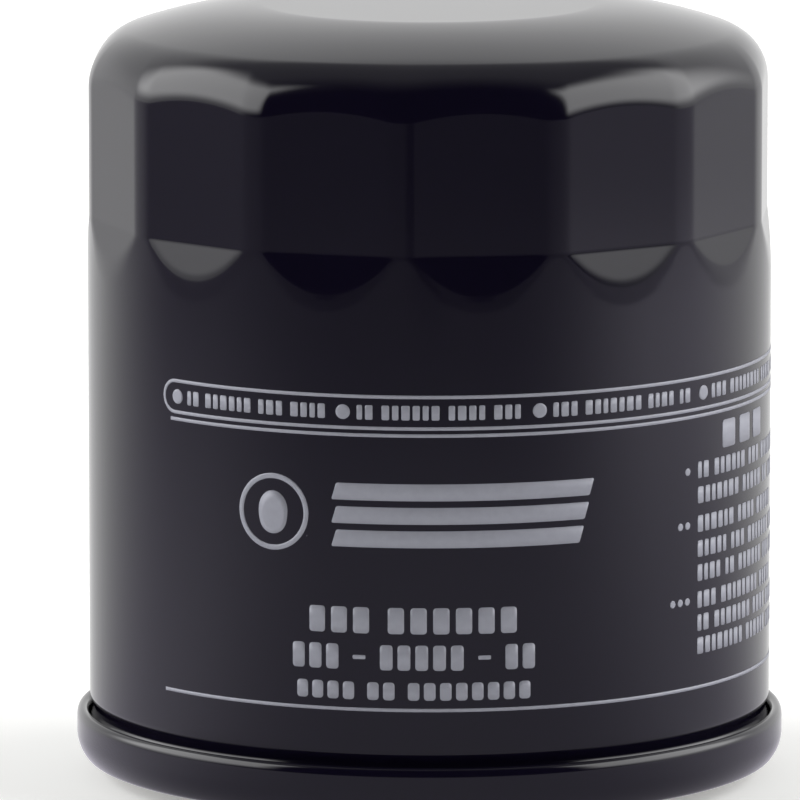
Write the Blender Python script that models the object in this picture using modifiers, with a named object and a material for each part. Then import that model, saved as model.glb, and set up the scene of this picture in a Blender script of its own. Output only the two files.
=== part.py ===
"""Spin-on engine oil filter, as the separate pieces it is pressed, seamed and bonded from.

Units are metres, +Z is up. The origin is the centre of the gasket's sealing face, so the filter
stands on its gasket with the fluted dome on top. Lengths below are written in millimetres and
multiplied by MM once, where a mesh is made.
"""

import math

import bmesh
import bpy
from mathutils import Matrix, Vector

MM = 0.001
TAU = 2 * math.pi

# ---- driving dimensions, in millimetres -------------------------------------------------------
CAN_R = 37.0  # outside radius of the drawn can
TOTAL_H = 84.0  # gasket face to the dome's flat crown
SHEET = 0.38  # steel sheet of the can, the cover plate and the end caps

SEAM_GAP = 0.09  # clearance between the sheets folded into the double seam
SEAM_LOW = 1.6  # underside of the seam
SEAM_HIGH = 7.2  # crest of the seam
SEAM_MID_R = CAN_R + SEAM_GAP + SHEET / 2  # middle of the fold, inside the cover's hook
CAN_FOLD = SEAM_GAP + SHEET / 2  # from the middle of the fold to the can's outer face
COVER_FOLD = CAN_FOLD + SHEET + SEAM_GAP + SHEET / 2  # and to the middle of the cover's sheet
SEAM_BEND_HIGH = 4.6  # where the seam begins to curl inwards
SEAM_BEND_R = 2.9
SEAM_BEND = math.radians(38)
SEAM_HEM = 0.4  # how far the seam's crest is bent in over its height
COMPOUND_HALF = 0.16  # half of the sealing compound's thickness

FLATS = 14  # wrench flats pressed into the closed end
FLAT_APOTHEM = 36.25  # half of the 72.5 mm across the flats; plain can is left between them
FLAT_PHASE = math.radians(-90 + 8.45)  # direction of the flat that faces the front
FLAT_LOW = 61.4  # lower crease of the flats
RUNOUT_LOW = 56.7  # where the sloping run-out meets the cylinder again

CROWN_R = 18.2  # flat crown at the middle of the dome
DOME_R = 56.0  # dome's arc between crown and shoulder
DOME_START = math.radians(3)  # slope at the crown's edge
DOME_END = math.radians(18)  # slope where the shoulder begins
DOME_END_R = CROWN_R + DOME_R * (math.sin(DOME_END) - math.sin(DOME_START))

PLATE_LOW = 6.8  # underside of the thick base plate
PLATE_T = 3.0
PLATE_R = 35.6
PLATE_FILLET = 1.0  # at the foot of the hub
HUB_R = 13.2
HUB_HIGH = 18.0
THREAD_MAJOR_R = 10.0  # M20 x 1.5, left at its minor diameter here
THREAD_MINOR_R = 9.19
THREAD_MOUTH = 1.2  # height of the countersink at the foot of the thread
THREAD_EXIT = 0.8  # height of the chamfer at its top
INLETS = 8
INLET_R = 3.5
INLET_CIRCLE_R = 20.0

GASKET_IN_R = 27.0
GASKET_OUT_R = 31.7
GASKET_H = 5.9
GASKET_CHAMFER = 0.5
LIP_LOW = 3.2  # edge of the lip inside the gasket
RIB_LOW = 2.5  # underside of the stiffening rib round the gasket
RIB_SIDE = 0.4  # width of each slope of the rib
RIB_FLAT = 0.8  # width of its underside

ELEMENT_LOW = 20.3  # underside of the lower end cap
ELEMENT_HIGH = 67.4  # top of the upper end cap
CAP_R = 31.5
CAP_BORE_R = 11.0
CAP_RIM = 3.0  # height of an end cap's rim
CAP_NECK = 2.6  # height of the collar round the lower cap's bore
CAP_BEND = 0.5  # chamfer in place of the bend radius
DISH = 1.6  # depth of the upper cap's dished middle
POTTING_H = 1.0
PLEATS = 42
PLEAT_OUT_R = 30.0
PLEAT_IN_R = 14.6
PLEAT_TIP_OUT = 0.55  # half width of a pleat's flat tip, outside
PLEAT_TIP_IN = 0.5  # and inside
PAPER = 0.6
TUBE_IN_R = 12.6
TUBE_OUT_R = 13.3
TUBE_ROWS = 5
TUBE_HOLES = 6  # holes in each row
TUBE_HOLE_R = 2.4

VALVE_PORT_R = 6.6  # relief port in the upper end cap
POPPET_R = 8.8
GUIDE_R = 3.0  # boss of the guide, through the poppet
STEM_R = 1.6  # stem of the guide, through the bottom of the cage
POPPET_HIGH = 64.9  # top of the guide's head
POPPET_BOSS = 0.6  # from there down to the top of the poppet
POPPET_SEAT = 1.4  # and to the face that carries the seal
POPPET_LOW = POPPET_HIGH - 2.2  # underside of the poppet
HEAD_T = 0.3  # thickness of the guide's head
SEAL_T = 0.8
CAGE_R = 11.6
CAGE_LOW = 53.6
CAGE_WALL_R = CAGE_R - 1.9  # the cage's side wall, middle of its sheet
CAGE_BEND = 0.7  # bend between its bottom and its side
WINDOW_W = 8.5
WINDOWS = 4
RELIEF_TURNS = 5
RELIEF_COIL_R = 5.4
RELIEF_WIRE = 0.9

HOLD_WIRE = 1.8
HOLD_LOW_R = 14.5
HOLD_HIGH_R = 9.5
HOLD_TURNS = 3.5

GAP = 0.3  # clearance between pieces that touch on the real filter
STEPS = 42  # facets round the large turned pieces, three to each flat
CORNER_PHASE = FLAT_PHASE + math.pi / FLATS  # facets begin at a corner between two flats
FINE_STEPS = 28  # facets round the small turned pieces


# ---- scene, materials and shape helpers --------------------------------------------------------
def clear_scene():
    """Removes every object of the file that the script starts in."""
    for obj in list(bpy.data.objects):
        bpy.data.objects.remove(obj, do_unlink=True)


def collection(name):
    """A new collection in the scene."""
    made = bpy.data.collections.new(name)
    bpy.context.scene.collection.children.link(made)
    return made


def material(name, colour, roughness, metallic=0.0):
    """A Principled material; colour is linear RGB."""
    made = bpy.data.materials.new(name)
    made.use_nodes = True
    shader = made.node_tree.nodes["Principled BSDF"]
    shader.inputs["Base Color"].default_value = (*colour, 1.0)
    shader.inputs["Roughness"].default_value = roughness
    shader.inputs["Metallic"].default_value = metallic
    return made


def add_object(name, mesh, finish, group):
    """An object of this mesh, with its material, in the group's collection."""
    obj = bpy.data.objects.new(name, mesh)
    if finish is not None:
        mesh.materials.append(finish)
    group.objects.link(obj)
    return obj


def line_mesh(name, points, closed):
    """Vertices and edges through points given in millimetres."""
    count = len(points)
    edges = [(i, (i + 1) % count) for i in range(count if closed else count - 1)]
    mesh = bpy.data.meshes.new(name)
    mesh.from_pydata([Vector(p) * MM for p in points], edges, [])
    return mesh


def turned(name, profile, finish, group, steps=STEPS, closed=True, thickness=0.0):
    """A shape turned round Z from (radius, height) points, listed down the outer side.

    Shapes with the large number of steps begin at a corner of the wrench flats.

    A closed profile makes a solid ring. An open one makes a surface, which becomes a sheet of
    this thickness, centred on the profile.
    """
    start = CORNER_PHASE if steps == STEPS else 0.0
    line = [(r * math.cos(start), r * math.sin(start), z) for r, z in profile]
    obj = add_object(name, line_mesh(name, line, closed), finish, group)
    screw = obj.modifiers.new("turn", "SCREW")
    screw.steps = steps
    screw.render_steps = steps
    screw.use_merge_vertices = True
    screw.merge_threshold = 0.00001
    screw.use_normal_calculate = False
    if thickness:
        sheet = obj.modifiers.new("sheet", "SOLIDIFY")
        sheet.thickness = thickness * MM
        sheet.offset = 0.0
        sheet.use_even_offset = True
    return obj


def realised(obj):
    """The object with its modifiers or its curve turned into a plain, welded mesh."""
    graph = bpy.context.evaluated_depsgraph_get()
    mesh = bpy.data.meshes.new_from_object(obj.evaluated_get(graph))
    made = bmesh.new()
    made.from_mesh(mesh)
    bmesh.ops.remove_doubles(made, verts=made.verts, dist=0.000005)
    bmesh.ops.recalc_face_normals(made, faces=made.faces)
    made.to_mesh(mesh)
    made.free()
    group = obj.users_collection[0]
    name, place = obj.name, obj.matrix_world.copy()
    bpy.data.objects.remove(obj, do_unlink=True)
    solid = bpy.data.objects.new(name, mesh)
    solid.matrix_world = place
    group.objects.link(solid)
    return solid


def smooth(obj, angle=30):
    """Shades a mesh smooth, with edges sharper than the angle kept sharp."""
    obj.data.shade_smooth()
    obj.data.set_sharp_from_angle(angle=math.radians(angle))


def cutter(name, fill):
    """A hidden helper mesh; fill(bm) puts the shapes into it."""
    made = bmesh.new()
    fill(made)
    mesh = bpy.data.meshes.new(name)
    made.to_mesh(mesh)
    made.free()
    obj = add_object(name, mesh, None, CUTTERS)
    obj.hide_render = True
    obj.display_type = "WIRE"
    return obj


def cut(obj, tool):
    """Cuts the tool out of the object with a Boolean."""
    difference = obj.modifiers.new("cut", "BOOLEAN")
    difference.operation = "DIFFERENCE"
    difference.object = tool


def add_cylinder(made, radius, depth, matrix, segments):
    """Adds a capped cylinder, sized in millimetres, to a bmesh."""
    bmesh.ops.create_cone(
        made, cap_ends=True, segments=segments, radius1=radius * MM, radius2=radius * MM,
        depth=depth * MM, matrix=matrix,
    )


def arc(centre, radius, start, end, count):
    """Points on an arc; angles run from the vertical towards +X, as a surface's slope does."""
    steps = [start + (end - start) * i / count for i in range(count + 1)]
    return [(centre[0] + radius * math.sin(a), centre[1] + radius * math.cos(a)) for a in steps]


def helix(radius_at, height_at, turns, per_turn):
    """Points of a coil whose radius and height follow functions of the share 0 to 1 of its length."""
    count = int(turns * per_turn)
    points = []
    for i in range(count + 1):
        share = i / count
        angle = TAU * turns * share
        radius = radius_at(share)
        points.append((radius * math.cos(angle), radius * math.sin(angle), height_at(share)))
    return points


def wire(name, points, diameter, finish, group):
    """A round wire along points in millimetres."""
    curve = bpy.data.curves.new(name, "CURVE")
    curve.dimensions = "3D"
    curve.bevel_depth = diameter / 2 * MM
    curve.bevel_resolution = 2
    curve.use_fill_caps = True
    spline = curve.splines.new("POLY")
    spline.points.add(len(points) - 1)
    for place, point in zip(spline.points, points):
        place.co = (*(c * MM for c in point), 1.0)
    curve.materials.append(finish)
    obj = bpy.data.objects.new(name, curve)
    group.objects.link(obj)
    return obj


def extruded_sheet(name, points, low, high, thickness, closed, finish, group):
    """A sheet that stands on a flat line of (x, y) points between two heights."""
    mesh = line_mesh(name, [(x, y, low) for x, y in points], closed)
    made = bmesh.new()
    made.from_mesh(mesh)
    grown = bmesh.ops.extrude_edge_only(made, edges=made.edges)
    raised = [v for v in grown["geom"] if isinstance(v, bmesh.types.BMVert)]
    bmesh.ops.translate(made, verts=raised, vec=(0, 0, (high - low) * MM))
    bmesh.ops.recalc_face_normals(made, faces=made.faces)
    made.to_mesh(mesh)
    made.free()
    obj = add_object(name, mesh, finish, group)
    sheet = obj.modifiers.new("sheet", "SOLIDIFY")
    sheet.thickness = thickness * MM
    sheet.offset = 0.0
    sheet.use_even_offset = True
    return obj


# ---- the can and its wrench flats --------------------------------------------------------------
def seam_line(offset, high, bends=3):
    """Points down through the seam, beside its middle line, to where the sheet is folded back.

    The middle line is straight at first and then curls inwards. A positive offset is outwards.
    """
    points = [(SEAM_MID_R + offset, high)]
    for i in range(bends + 1):
        turn = SEAM_BEND * i / bends
        reach = SEAM_BEND_R + offset
        centre_r = SEAM_MID_R - SEAM_BEND_R
        points.append((centre_r + reach * math.cos(turn), SEAM_BEND_HIGH - reach * math.sin(turn)))
    return points


def seam_fold(radius, count):
    """Points round the fold at the seam's underside, from its inner to its outer side."""
    centre_r = SEAM_MID_R - SEAM_BEND_R * (1 - math.cos(SEAM_BEND))
    centre_z = SEAM_BEND_HIGH - SEAM_BEND_R * math.sin(SEAM_BEND)
    points = []
    for i in range(1, count):
        turn = -SEAM_BEND - math.pi + math.pi * i / count
        points.append((centre_r + radius * math.cos(turn), centre_z + radius * math.sin(turn)))
    return points


def can_profile():
    """The can's outer surface, from the crown's middle down to the hook inside the seam."""
    dome_centre = (
        CROWN_R - DOME_R * math.sin(DOME_START),
        TOTAL_H - DOME_R * math.cos(DOME_START),
    )
    dome = arc(dome_centre, DOME_R, DOME_START, DOME_END, 2)
    shoulder_r = (CAN_R - dome[-1][0]) / (1 - math.sin(DOME_END))
    shoulder_centre = (CAN_R - shoulder_r, dome[-1][1] - shoulder_r * math.cos(DOME_END))
    shoulder = arc(shoulder_centre, shoulder_r, DOME_END, math.pi / 2, 3)
    wall = [(CAN_R, FLAT_LOW), (CAN_R, RUNOUT_LOW)]
    down = seam_line(-CAN_FOLD, SEAM_HIGH + 1, 2)
    up = list(reversed(seam_line(CAN_FOLD, SEAM_HIGH - 1.5, 2)))
    return [(0, TOTAL_H)] + dome + shoulder[1:] + wall + down + seam_fold(CAN_FOLD, 4) + up


def pressed_angle(angle, radius, height):
    """Direction of a point of the can's skin once the flats are pressed into it.

    Each flat has two inner columns of points. They move apart to the flat's two edges, so that
    the faces between them lie in its plane. The columns at the corners stay where they are.
    """
    pitch = TAU / FLATS
    off = (angle - FLAT_PHASE + pitch / 2) % pitch - pitch / 2
    if height <= RUNOUT_LOW or radius > CAN_R + SEAM_GAP or abs(off) > pitch / 3:
        return angle
    edge = math.copysign(math.acos(FLAT_APOTHEM / CAN_R), off)
    fade = max(0.0, (radius - DOME_END_R) / (CAN_R - DOME_END_R))
    return angle + (edge - off) * min(1.0, fade)


def make_can(group, paint):
    """The drawn can: turned, its flats pressed in, then given the sheet's thickness."""
    skin = realised(turned("can_shell", can_profile(), paint, group, closed=False))
    for vertex in skin.data.vertices:
        x, y, z = vertex.co / MM
        radius = math.hypot(x, y)
        angle = pressed_angle(math.atan2(y, x), radius, z)
        vertex.co = Vector((radius * math.cos(angle), radius * math.sin(angle), z)) * MM
    sheet = skin.modifiers.new("sheet", "SOLIDIFY")
    sheet.thickness = SHEET * MM
    sheet.offset = -1.0
    sheet.use_even_offset = True
    smooth(skin, 20)
    return skin


# ---- the end that is seamed to the can ---------------------------------------------------------
def cover_profile():
    """Middle line of the cover plate: inner lip, gasket channel, rib, chuck wall and seam curl."""
    half = SHEET / 2
    lip_r = GASKET_IN_R - GAP - half
    channel_r = GASKET_OUT_R + GAP + half
    ceiling = PLATE_LOW - GAP - half
    chuck_r = SEAM_MID_R - COVER_FOLD
    crest_r = SEAM_MID_R + COVER_FOLD
    foot = RIB_LOW + 0.5
    channel = [(lip_r, LIP_LOW), (lip_r, ceiling), (channel_r, ceiling), (channel_r, foot)]
    far = channel_r + 2 * RIB_SIDE + RIB_FLAT
    rib = [
        (channel_r + RIB_SIDE, RIB_LOW),
        (far - RIB_SIDE, RIB_LOW),
        (far, foot),
        (far + 0.1, ceiling),
        (chuck_r, ceiling),
    ]
    crest_low = SEAM_HIGH - half - SEAM_HEM
    down = seam_line(-COVER_FOLD, ceiling, 2)[1:]
    up = list(reversed(seam_line(COVER_FOLD, crest_low, 2)))
    crest = [(crest_r - 0.3, SEAM_HIGH - half), (SEAM_MID_R + 0.2, SEAM_HIGH - half)]
    hook = seam_line(0, crest_low, 2)[:2]
    return channel + rib + down + seam_fold(COVER_FOLD, 4) + up + crest + hook


def make_seamed_end(group, paint, steel, rubber, compound):
    """Cover plate, gasket, sealing compound and the thick threaded base plate."""
    turned("cover_plate", cover_profile(), paint, group, closed=False, thickness=SHEET)

    turned(
        "gasket",
        [
            (GASKET_OUT_R, GASKET_H),
            (GASKET_OUT_R, GASKET_CHAMFER),
            (GASKET_OUT_R - GASKET_CHAMFER, 0),
            (GASKET_IN_R + GASKET_CHAMFER, 0),
            (GASKET_IN_R, GASKET_CHAMFER),
            (GASKET_IN_R, GASKET_H),
        ],
        rubber,
        group,
    )

    # The compound lies in the fold, below the end of the cover's hook.
    inner = seam_line(-COMPOUND_HALF, SEAM_BEND_HIGH, 4)[3:]
    outer = seam_line(COMPOUND_HALF, SEAM_BEND_HIGH, 4)[3:]
    turned("seam_compound", outer + list(reversed(inner)), compound, group)

    plate_high = PLATE_LOW + PLATE_T
    plate = turned(
        "base_plate",
        [
            (PLATE_R, plate_high),
            (PLATE_R, PLATE_LOW),
            (THREAD_MAJOR_R + THREAD_MOUTH / 2, PLATE_LOW),
            (THREAD_MINOR_R, PLATE_LOW + THREAD_MOUTH),
            (THREAD_MINOR_R, HUB_HIGH - THREAD_EXIT),
            (THREAD_MAJOR_R, HUB_HIGH),
            (HUB_R, HUB_HIGH),
            (HUB_R, plate_high + PLATE_FILLET),
            (HUB_R + PLATE_FILLET, plate_high),
        ],
        steel,
        group,
    )
    cut(plate, inlet_cutter(plate_high))
    return plate


def inlet_cutter(plate_high):
    """Eight straight drills through the base plate."""

    def fill(made):
        for i in range(INLETS):
            turn = Matrix.Rotation(TAU * i / INLETS, 4, "Z")
            middle = (PLATE_LOW + plate_high) / 2
            place = turn @ Matrix.Translation((INLET_CIRCLE_R * MM, 0, middle * MM))
            add_cylinder(made, INLET_R, PLATE_T + 4, place, 16)

    return cutter("inlet_drills", fill)


def make_antidrain_valve(group, rubber):
    """The moulded rubber valve: a bead over the hub and a skirt that closes the inlet holes."""
    low = PLATE_LOW + PLATE_T + GAP
    bead_low = HUB_HIGH + GAP
    bead_high = ELEMENT_LOW - GAP
    collar_r = HUB_R + GAP
    turned(
        "antidrain_valve",
        [
            (collar_r + 2.0, bead_high),
            (collar_r + 2.0, 16.4),
            (21.0, 13.9),
            (27.2, 11.0),
            (27.6, low),
            (26.4, low),
            (20.4, 12.7),
            (collar_r + 1.2, 15.0),
            (collar_r, 14.2),
            (collar_r, bead_low),
            (CAP_BORE_R + 0.6, bead_low),
            (CAP_BORE_R + 0.6, bead_high),
        ],
        rubber,
        group,
        steps=FINE_STEPS,
    )


# ---- the filter element ------------------------------------------------------------------------
def make_end_caps(group, steel, glue):
    """Both pressed end caps and the glue that bonds the pleats to them."""
    half = SHEET / 2
    rim_r = CAP_R - half
    lower = ELEMENT_LOW + half
    upper = ELEMENT_HIGH - half
    turned(
        "lower_end_cap",
        [
            (rim_r, lower + CAP_RIM),
            (rim_r, lower + CAP_BEND),
            (rim_r - CAP_BEND, lower),
            (CAP_BORE_R + half + CAP_BEND, lower),
            (CAP_BORE_R + half, lower + CAP_BEND),
            (CAP_BORE_R + half, lower + CAP_NECK),
        ],
        steel,
        group,
        steps=FINE_STEPS,
        closed=False,
        thickness=SHEET,
    )
    # The upper cap is dished down at its middle, and the relief port is turned down as its seat.
    dish = upper - DISH
    turned(
        "upper_end_cap",
        [
            (VALVE_PORT_R + half, dish - 0.9),
            (VALVE_PORT_R + half, dish - 0.4),
            (VALVE_PORT_R + 0.6, dish),
            (CAGE_R, dish),
            (CAGE_R + 1.0, upper),
            (rim_r - CAP_BEND, upper),
            (rim_r, upper - CAP_BEND),
            (rim_r, upper - CAP_RIM),
        ],
        steel,
        group,
        steps=FINE_STEPS,
        closed=False,
        thickness=SHEET,
    )
    glue_in, glue_out = TUBE_OUT_R + GAP, CAP_R - SHEET - GAP
    for name, low in (
        ("lower_potting", ELEMENT_LOW + SHEET + GAP),
        ("upper_potting", ELEMENT_HIGH - SHEET - GAP - POTTING_H),
    ):
        high = low + POTTING_H
        ring = [(glue_out, high), (glue_out, low), (glue_in, low), (glue_in, high)]
        turned(name, ring, glue, group, steps=FINE_STEPS)


def pleat_line():
    """The folded paper seen from above: PLEATS long folds with narrow flat tips."""
    pitch = TAU / PLEATS
    tip_out = PLEAT_TIP_OUT / PLEAT_OUT_R
    tip_in = PLEAT_TIP_IN / PLEAT_IN_R
    points = []
    for i in range(PLEATS):
        for radius, angle in (
            (PLEAT_OUT_R, pitch * i - tip_out),
            (PLEAT_OUT_R, pitch * i + tip_out),
            (PLEAT_IN_R, pitch * (i + 0.5) - tip_in),
            (PLEAT_IN_R, pitch * (i + 0.5) + tip_in),
        ):
            points.append((radius * math.cos(angle), radius * math.sin(angle)))
    return points


def make_media(group, paper, steel):
    """The pleated paper and the strip that clips its two ends together."""
    low = ELEMENT_LOW + SHEET + POTTING_H + 2 * GAP
    high = ELEMENT_HIGH - SHEET - POTTING_H - 2 * GAP
    extruded_sheet("pleated_media", pleat_line(), low, high, PAPER, True, paper, group)
    # The clip straddles the pleat tip on the +X side, clear of the end caps' rims.
    foil = 0.3
    tip_half = PLEAT_TIP_OUT + PAPER / 2 + GAP + foil / 2
    back = PLEAT_OUT_R + PAPER / 2 + GAP + 0.1
    leg = PLEAT_OUT_R - 2.0
    channel = [(leg, -tip_half), (back, -tip_half), (back, tip_half), (leg, tip_half)]
    low = ELEMENT_LOW + CAP_RIM + SHEET + 1
    high = ELEMENT_HIGH - CAP_RIM - SHEET - 1
    extruded_sheet("media_clip", channel, low, high, foil, False, steel, group)


def make_centre_tube(group, steel):
    """The perforated steel core that stops the pleats from collapsing inwards."""
    low = ELEMENT_LOW + SHEET + GAP
    high = ELEMENT_HIGH - SHEET - GAP - 0.2
    tube = turned(
        "centre_tube",
        [(TUBE_OUT_R, high), (TUBE_OUT_R, low), (TUBE_IN_R, low), (TUBE_IN_R, high)],
        steel,
        group,
        steps=FINE_STEPS,
    )
    spacing = (high - low) / TUBE_ROWS

    def fill(made):
        for row in range(TUBE_ROWS):
            for i in range(TUBE_HOLES):
                turn = Matrix.Rotation(TAU * (i + 0.5 * (row % 2)) / TUBE_HOLES, 4, "Z")
                height = (low + spacing * (row + 0.5)) * MM
                out = Matrix.Translation((TUBE_OUT_R * MM, 0, height))
                place = turn @ out @ Matrix.Rotation(math.pi / 2, 4, "Y")
                add_cylinder(made, TUBE_HOLE_R, 4, place, 8)

    cut(tube, cutter("tube_punches", fill))


# ---- the relief valve in the upper end cap -----------------------------------------------------
def make_relief_valve(group, steel, nylon, rubber, spring_steel):
    """Cage, poppet, guide, seal and spring; the poppet opens downwards, into the centre tube."""
    half = SHEET / 2
    top = ELEMENT_HIGH - DISH - SHEET - GAP
    cage = turned(
        "relief_cage",
        [
            (STEM_R + GAP + 0.1, CAGE_LOW + half),
            (CAGE_WALL_R - CAGE_BEND, CAGE_LOW + half),
            (CAGE_WALL_R, CAGE_LOW + 0.9),
            (CAGE_WALL_R, top - 0.9),
            (CAGE_WALL_R + 0.5, top - half),
            (CAGE_R, top - half),
        ],
        steel,
        group,
        steps=FINE_STEPS,
        closed=False,
        thickness=SHEET,
    )

    def windows(made):
        height = top - CAGE_LOW - 4
        for i in range(WINDOWS):
            turn = Matrix.Rotation(TAU * (i + 0.5) / WINDOWS, 4, "Z")
            middle = Matrix.Translation(((CAGE_R - 2) * MM, 0, (CAGE_LOW + 1.6 + height / 2) * MM))
            size = Matrix.Diagonal((6 * MM, WINDOW_W * MM, height * MM, 1))
            bmesh.ops.create_cube(made, size=1, matrix=turn @ middle @ size)

    cut(cage, cutter("cage_windows", windows))

    seat = POPPET_HIGH - POPPET_SEAT
    turned(
        "relief_poppet",
        [
            (VALVE_PORT_R - 1.4, POPPET_HIGH - POPPET_BOSS),
            (VALVE_PORT_R - 0.8, seat),
            (POPPET_R, seat),
            (POPPET_R, POPPET_LOW),
            (GUIDE_R + GAP, POPPET_LOW),
            (GUIDE_R + GAP, POPPET_HIGH - POPPET_BOSS),
        ],
        steel,
        group,
        steps=FINE_STEPS,
    )
    turned(
        "relief_guide",
        [
            (0, POPPET_HIGH),
            (GUIDE_R + 1.0, POPPET_HIGH),
            (GUIDE_R + 1.0, POPPET_HIGH - HEAD_T),
            (GUIDE_R, POPPET_HIGH - HEAD_T),
            (GUIDE_R, POPPET_LOW - GAP),
            (RELIEF_COIL_R - 1.0, POPPET_LOW - GAP),
            (RELIEF_COIL_R - 1.3, POPPET_LOW - 1.4),
            (STEM_R, POPPET_LOW - 1.4),
            (STEM_R, CAGE_LOW - 0.6),
            (0, CAGE_LOW - 0.6),
        ],
        nylon,
        group,
        steps=14,
    )
    seal_low = seat + 0.1
    turned(
        "relief_seal",
        [
            (POPPET_R - 0.2, seal_low + SEAL_T),
            (POPPET_R - 0.2, seal_low),
            (VALVE_PORT_R - 0.6, seal_low),
            (VALVE_PORT_R - 0.6, seal_low + SEAL_T),
        ],
        rubber,
        group,
        steps=FINE_STEPS,
    )
    low = CAGE_LOW + SHEET + RELIEF_WIRE / 2 + GAP / 2
    high = POPPET_LOW - RELIEF_WIRE / 2 - GAP / 2
    coil = helix(lambda s: RELIEF_COIL_R, lambda s: low + (high - low) * s, RELIEF_TURNS, 10)
    wire("relief_spring", coil, RELIEF_WIRE, spring_steel, group)


def make_hold_down_spring(group, steel, spring_steel):
    """The conical spring that holds the element down, and the cup that centres it in the crown."""
    half = SHEET / 2
    seat = TOTAL_H - SHEET - GAP - half
    turned(
        "spring_seat",
        [
            (5.0, seat - 1.6),
            (5.6, seat - 1.6),
            (6.6, seat),
            (HOLD_HIGH_R + 1.6, seat),
            (HOLD_HIGH_R + 2.0, seat - 0.8),
        ],
        steel,
        group,
        steps=FINE_STEPS,
        closed=False,
        thickness=SHEET,
    )
    low = ELEMENT_HIGH + HOLD_WIRE / 2 + GAP
    high = seat - half - HOLD_WIRE / 2 - GAP
    coil = helix(
        lambda s: HOLD_LOW_R + (HOLD_HIGH_R - HOLD_LOW_R) * s,
        lambda s: low + (high - low) * s,
        HOLD_TURNS,
        14,
    )
    wire("hold_down_spring", coil, HOLD_WIRE, spring_steel, group)


# ---- build -------------------------------------------------------------------------------------
clear_scene()
FILTER = collection("oil_filter")
CUTTERS = collection("cutters")

BLACK_ENAMEL = material("black_enamel", (0.012, 0.012, 0.017), 0.22)
ZINC_STEEL = material("zinc_plated_steel", (0.55, 0.54, 0.50), 0.35, 1.0)
TIN_STEEL = material("tinned_sheet_steel", (0.62, 0.62, 0.60), 0.3, 1.0)
SPRING_STEEL = material("spring_steel", (0.28, 0.28, 0.29), 0.35, 1.0)
GASKET_RUBBER = material("gasket_rubber", (0.015, 0.015, 0.016), 0.55)
VALVE_RUBBER = material("valve_rubber", (0.16, 0.035, 0.02), 0.5)
FILTER_PAPER = material("filter_paper", (0.62, 0.47, 0.22), 0.85)
POTTING = material("plastisol_potting", (0.10, 0.10, 0.11), 0.5)
NYLON = material("guide_nylon", (0.72, 0.68, 0.56), 0.45)
COMPOUND = material("seam_compound", (0.35, 0.08, 0.05), 0.6)

make_can(FILTER, BLACK_ENAMEL)
make_seamed_end(FILTER, BLACK_ENAMEL, ZINC_STEEL, GASKET_RUBBER, COMPOUND)
make_antidrain_valve(FILTER, VALVE_RUBBER)
make_end_caps(FILTER, TIN_STEEL, POTTING)
make_media(FILTER, FILTER_PAPER, TIN_STEEL)
make_centre_tube(FILTER, TIN_STEEL)
make_relief_valve(FILTER, TIN_STEEL, NYLON, VALVE_RUBBER, SPRING_STEEL)
make_hold_down_spring(FILTER, TIN_STEEL, SPRING_STEEL)
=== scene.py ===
"""Looks of a spin-on engine oil filter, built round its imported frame.

Lengths are in millimetres, +Z is up and the printed front faces -Y, as in the frame. A mesh is
turned to metres once, where it is put into Blender. Every surface is worked out with numpy, as a
grid of points that is a function of two parameters. Every piece stands for one CAD node, but for
the print, which the CAD doesn't have, and the clip on the pleats keeps its CAD mesh.
"""

import logging
import math
from dataclasses import dataclass
from enum import Enum
from typing import Any, Callable, Sequence

import bmesh
import bpy
import numpy as np
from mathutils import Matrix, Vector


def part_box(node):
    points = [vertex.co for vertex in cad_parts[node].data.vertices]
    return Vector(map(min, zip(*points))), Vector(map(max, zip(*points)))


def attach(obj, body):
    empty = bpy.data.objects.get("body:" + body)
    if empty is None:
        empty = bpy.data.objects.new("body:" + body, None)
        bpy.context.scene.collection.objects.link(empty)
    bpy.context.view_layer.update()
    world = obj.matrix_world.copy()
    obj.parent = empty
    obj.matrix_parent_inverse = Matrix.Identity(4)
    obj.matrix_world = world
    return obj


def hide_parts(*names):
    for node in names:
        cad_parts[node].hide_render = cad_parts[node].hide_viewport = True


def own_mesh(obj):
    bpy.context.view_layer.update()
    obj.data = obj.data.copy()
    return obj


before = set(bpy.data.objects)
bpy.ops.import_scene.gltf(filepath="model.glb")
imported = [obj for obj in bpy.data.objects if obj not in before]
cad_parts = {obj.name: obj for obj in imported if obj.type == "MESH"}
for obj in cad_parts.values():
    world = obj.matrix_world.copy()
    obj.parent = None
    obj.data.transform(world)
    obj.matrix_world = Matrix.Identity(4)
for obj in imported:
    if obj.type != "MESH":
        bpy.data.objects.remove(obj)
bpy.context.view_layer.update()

MM = 0.001
TAU = 2 * math.pi
FRONT = -math.pi / 2  # direction of the printed front
WELD = 1e-7  # metres; points closer than this become one
SHEET = 0.38  # steel sheet of the can, the cover, the end caps and the cage
GOLDEN = 0.618034

Grid = np.ndarray
Piece = bpy.types.Object
Material = bpy.types.Material
Tree = bpy.types.NodeTree
Node = bpy.types.Node
Socket = bpy.types.NodeSocket
log = logging.getLogger("oil_filter")


# ---- surfaces ----------------------------------------------------------------------------------
def heights(node: str) -> tuple[float, float]:
    """Lowest and highest point of a CAD node, in millimetres."""
    low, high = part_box(node)
    return low[2] / MM, high[2] / MM


def grid_quads(rows: int, columns: int, loop_rows: bool, loop_columns: bool) -> np.ndarray:
    """Joins the neighbours in a grid of points by quads.

    Args:
        rows: Number of rows in the grid.
        columns: Number of points in each row.
        loop_rows: Whether the last row also joins the first.
        loop_columns: Whether the last column also joins the first.

    Returns:
        Point numbers, four to each quad.
    """
    index = np.arange(rows * columns).reshape(rows, columns)
    following = np.roll(index, -1, axis=0)
    quads = np.stack(
        [index, np.roll(index, -1, axis=1), np.roll(following, -1, axis=1), following], axis=-1
    )
    quads = quads if loop_rows else quads[:-1]
    quads = quads if loop_columns else quads[:, :-1]
    return quads.reshape(-1, 4)


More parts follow.
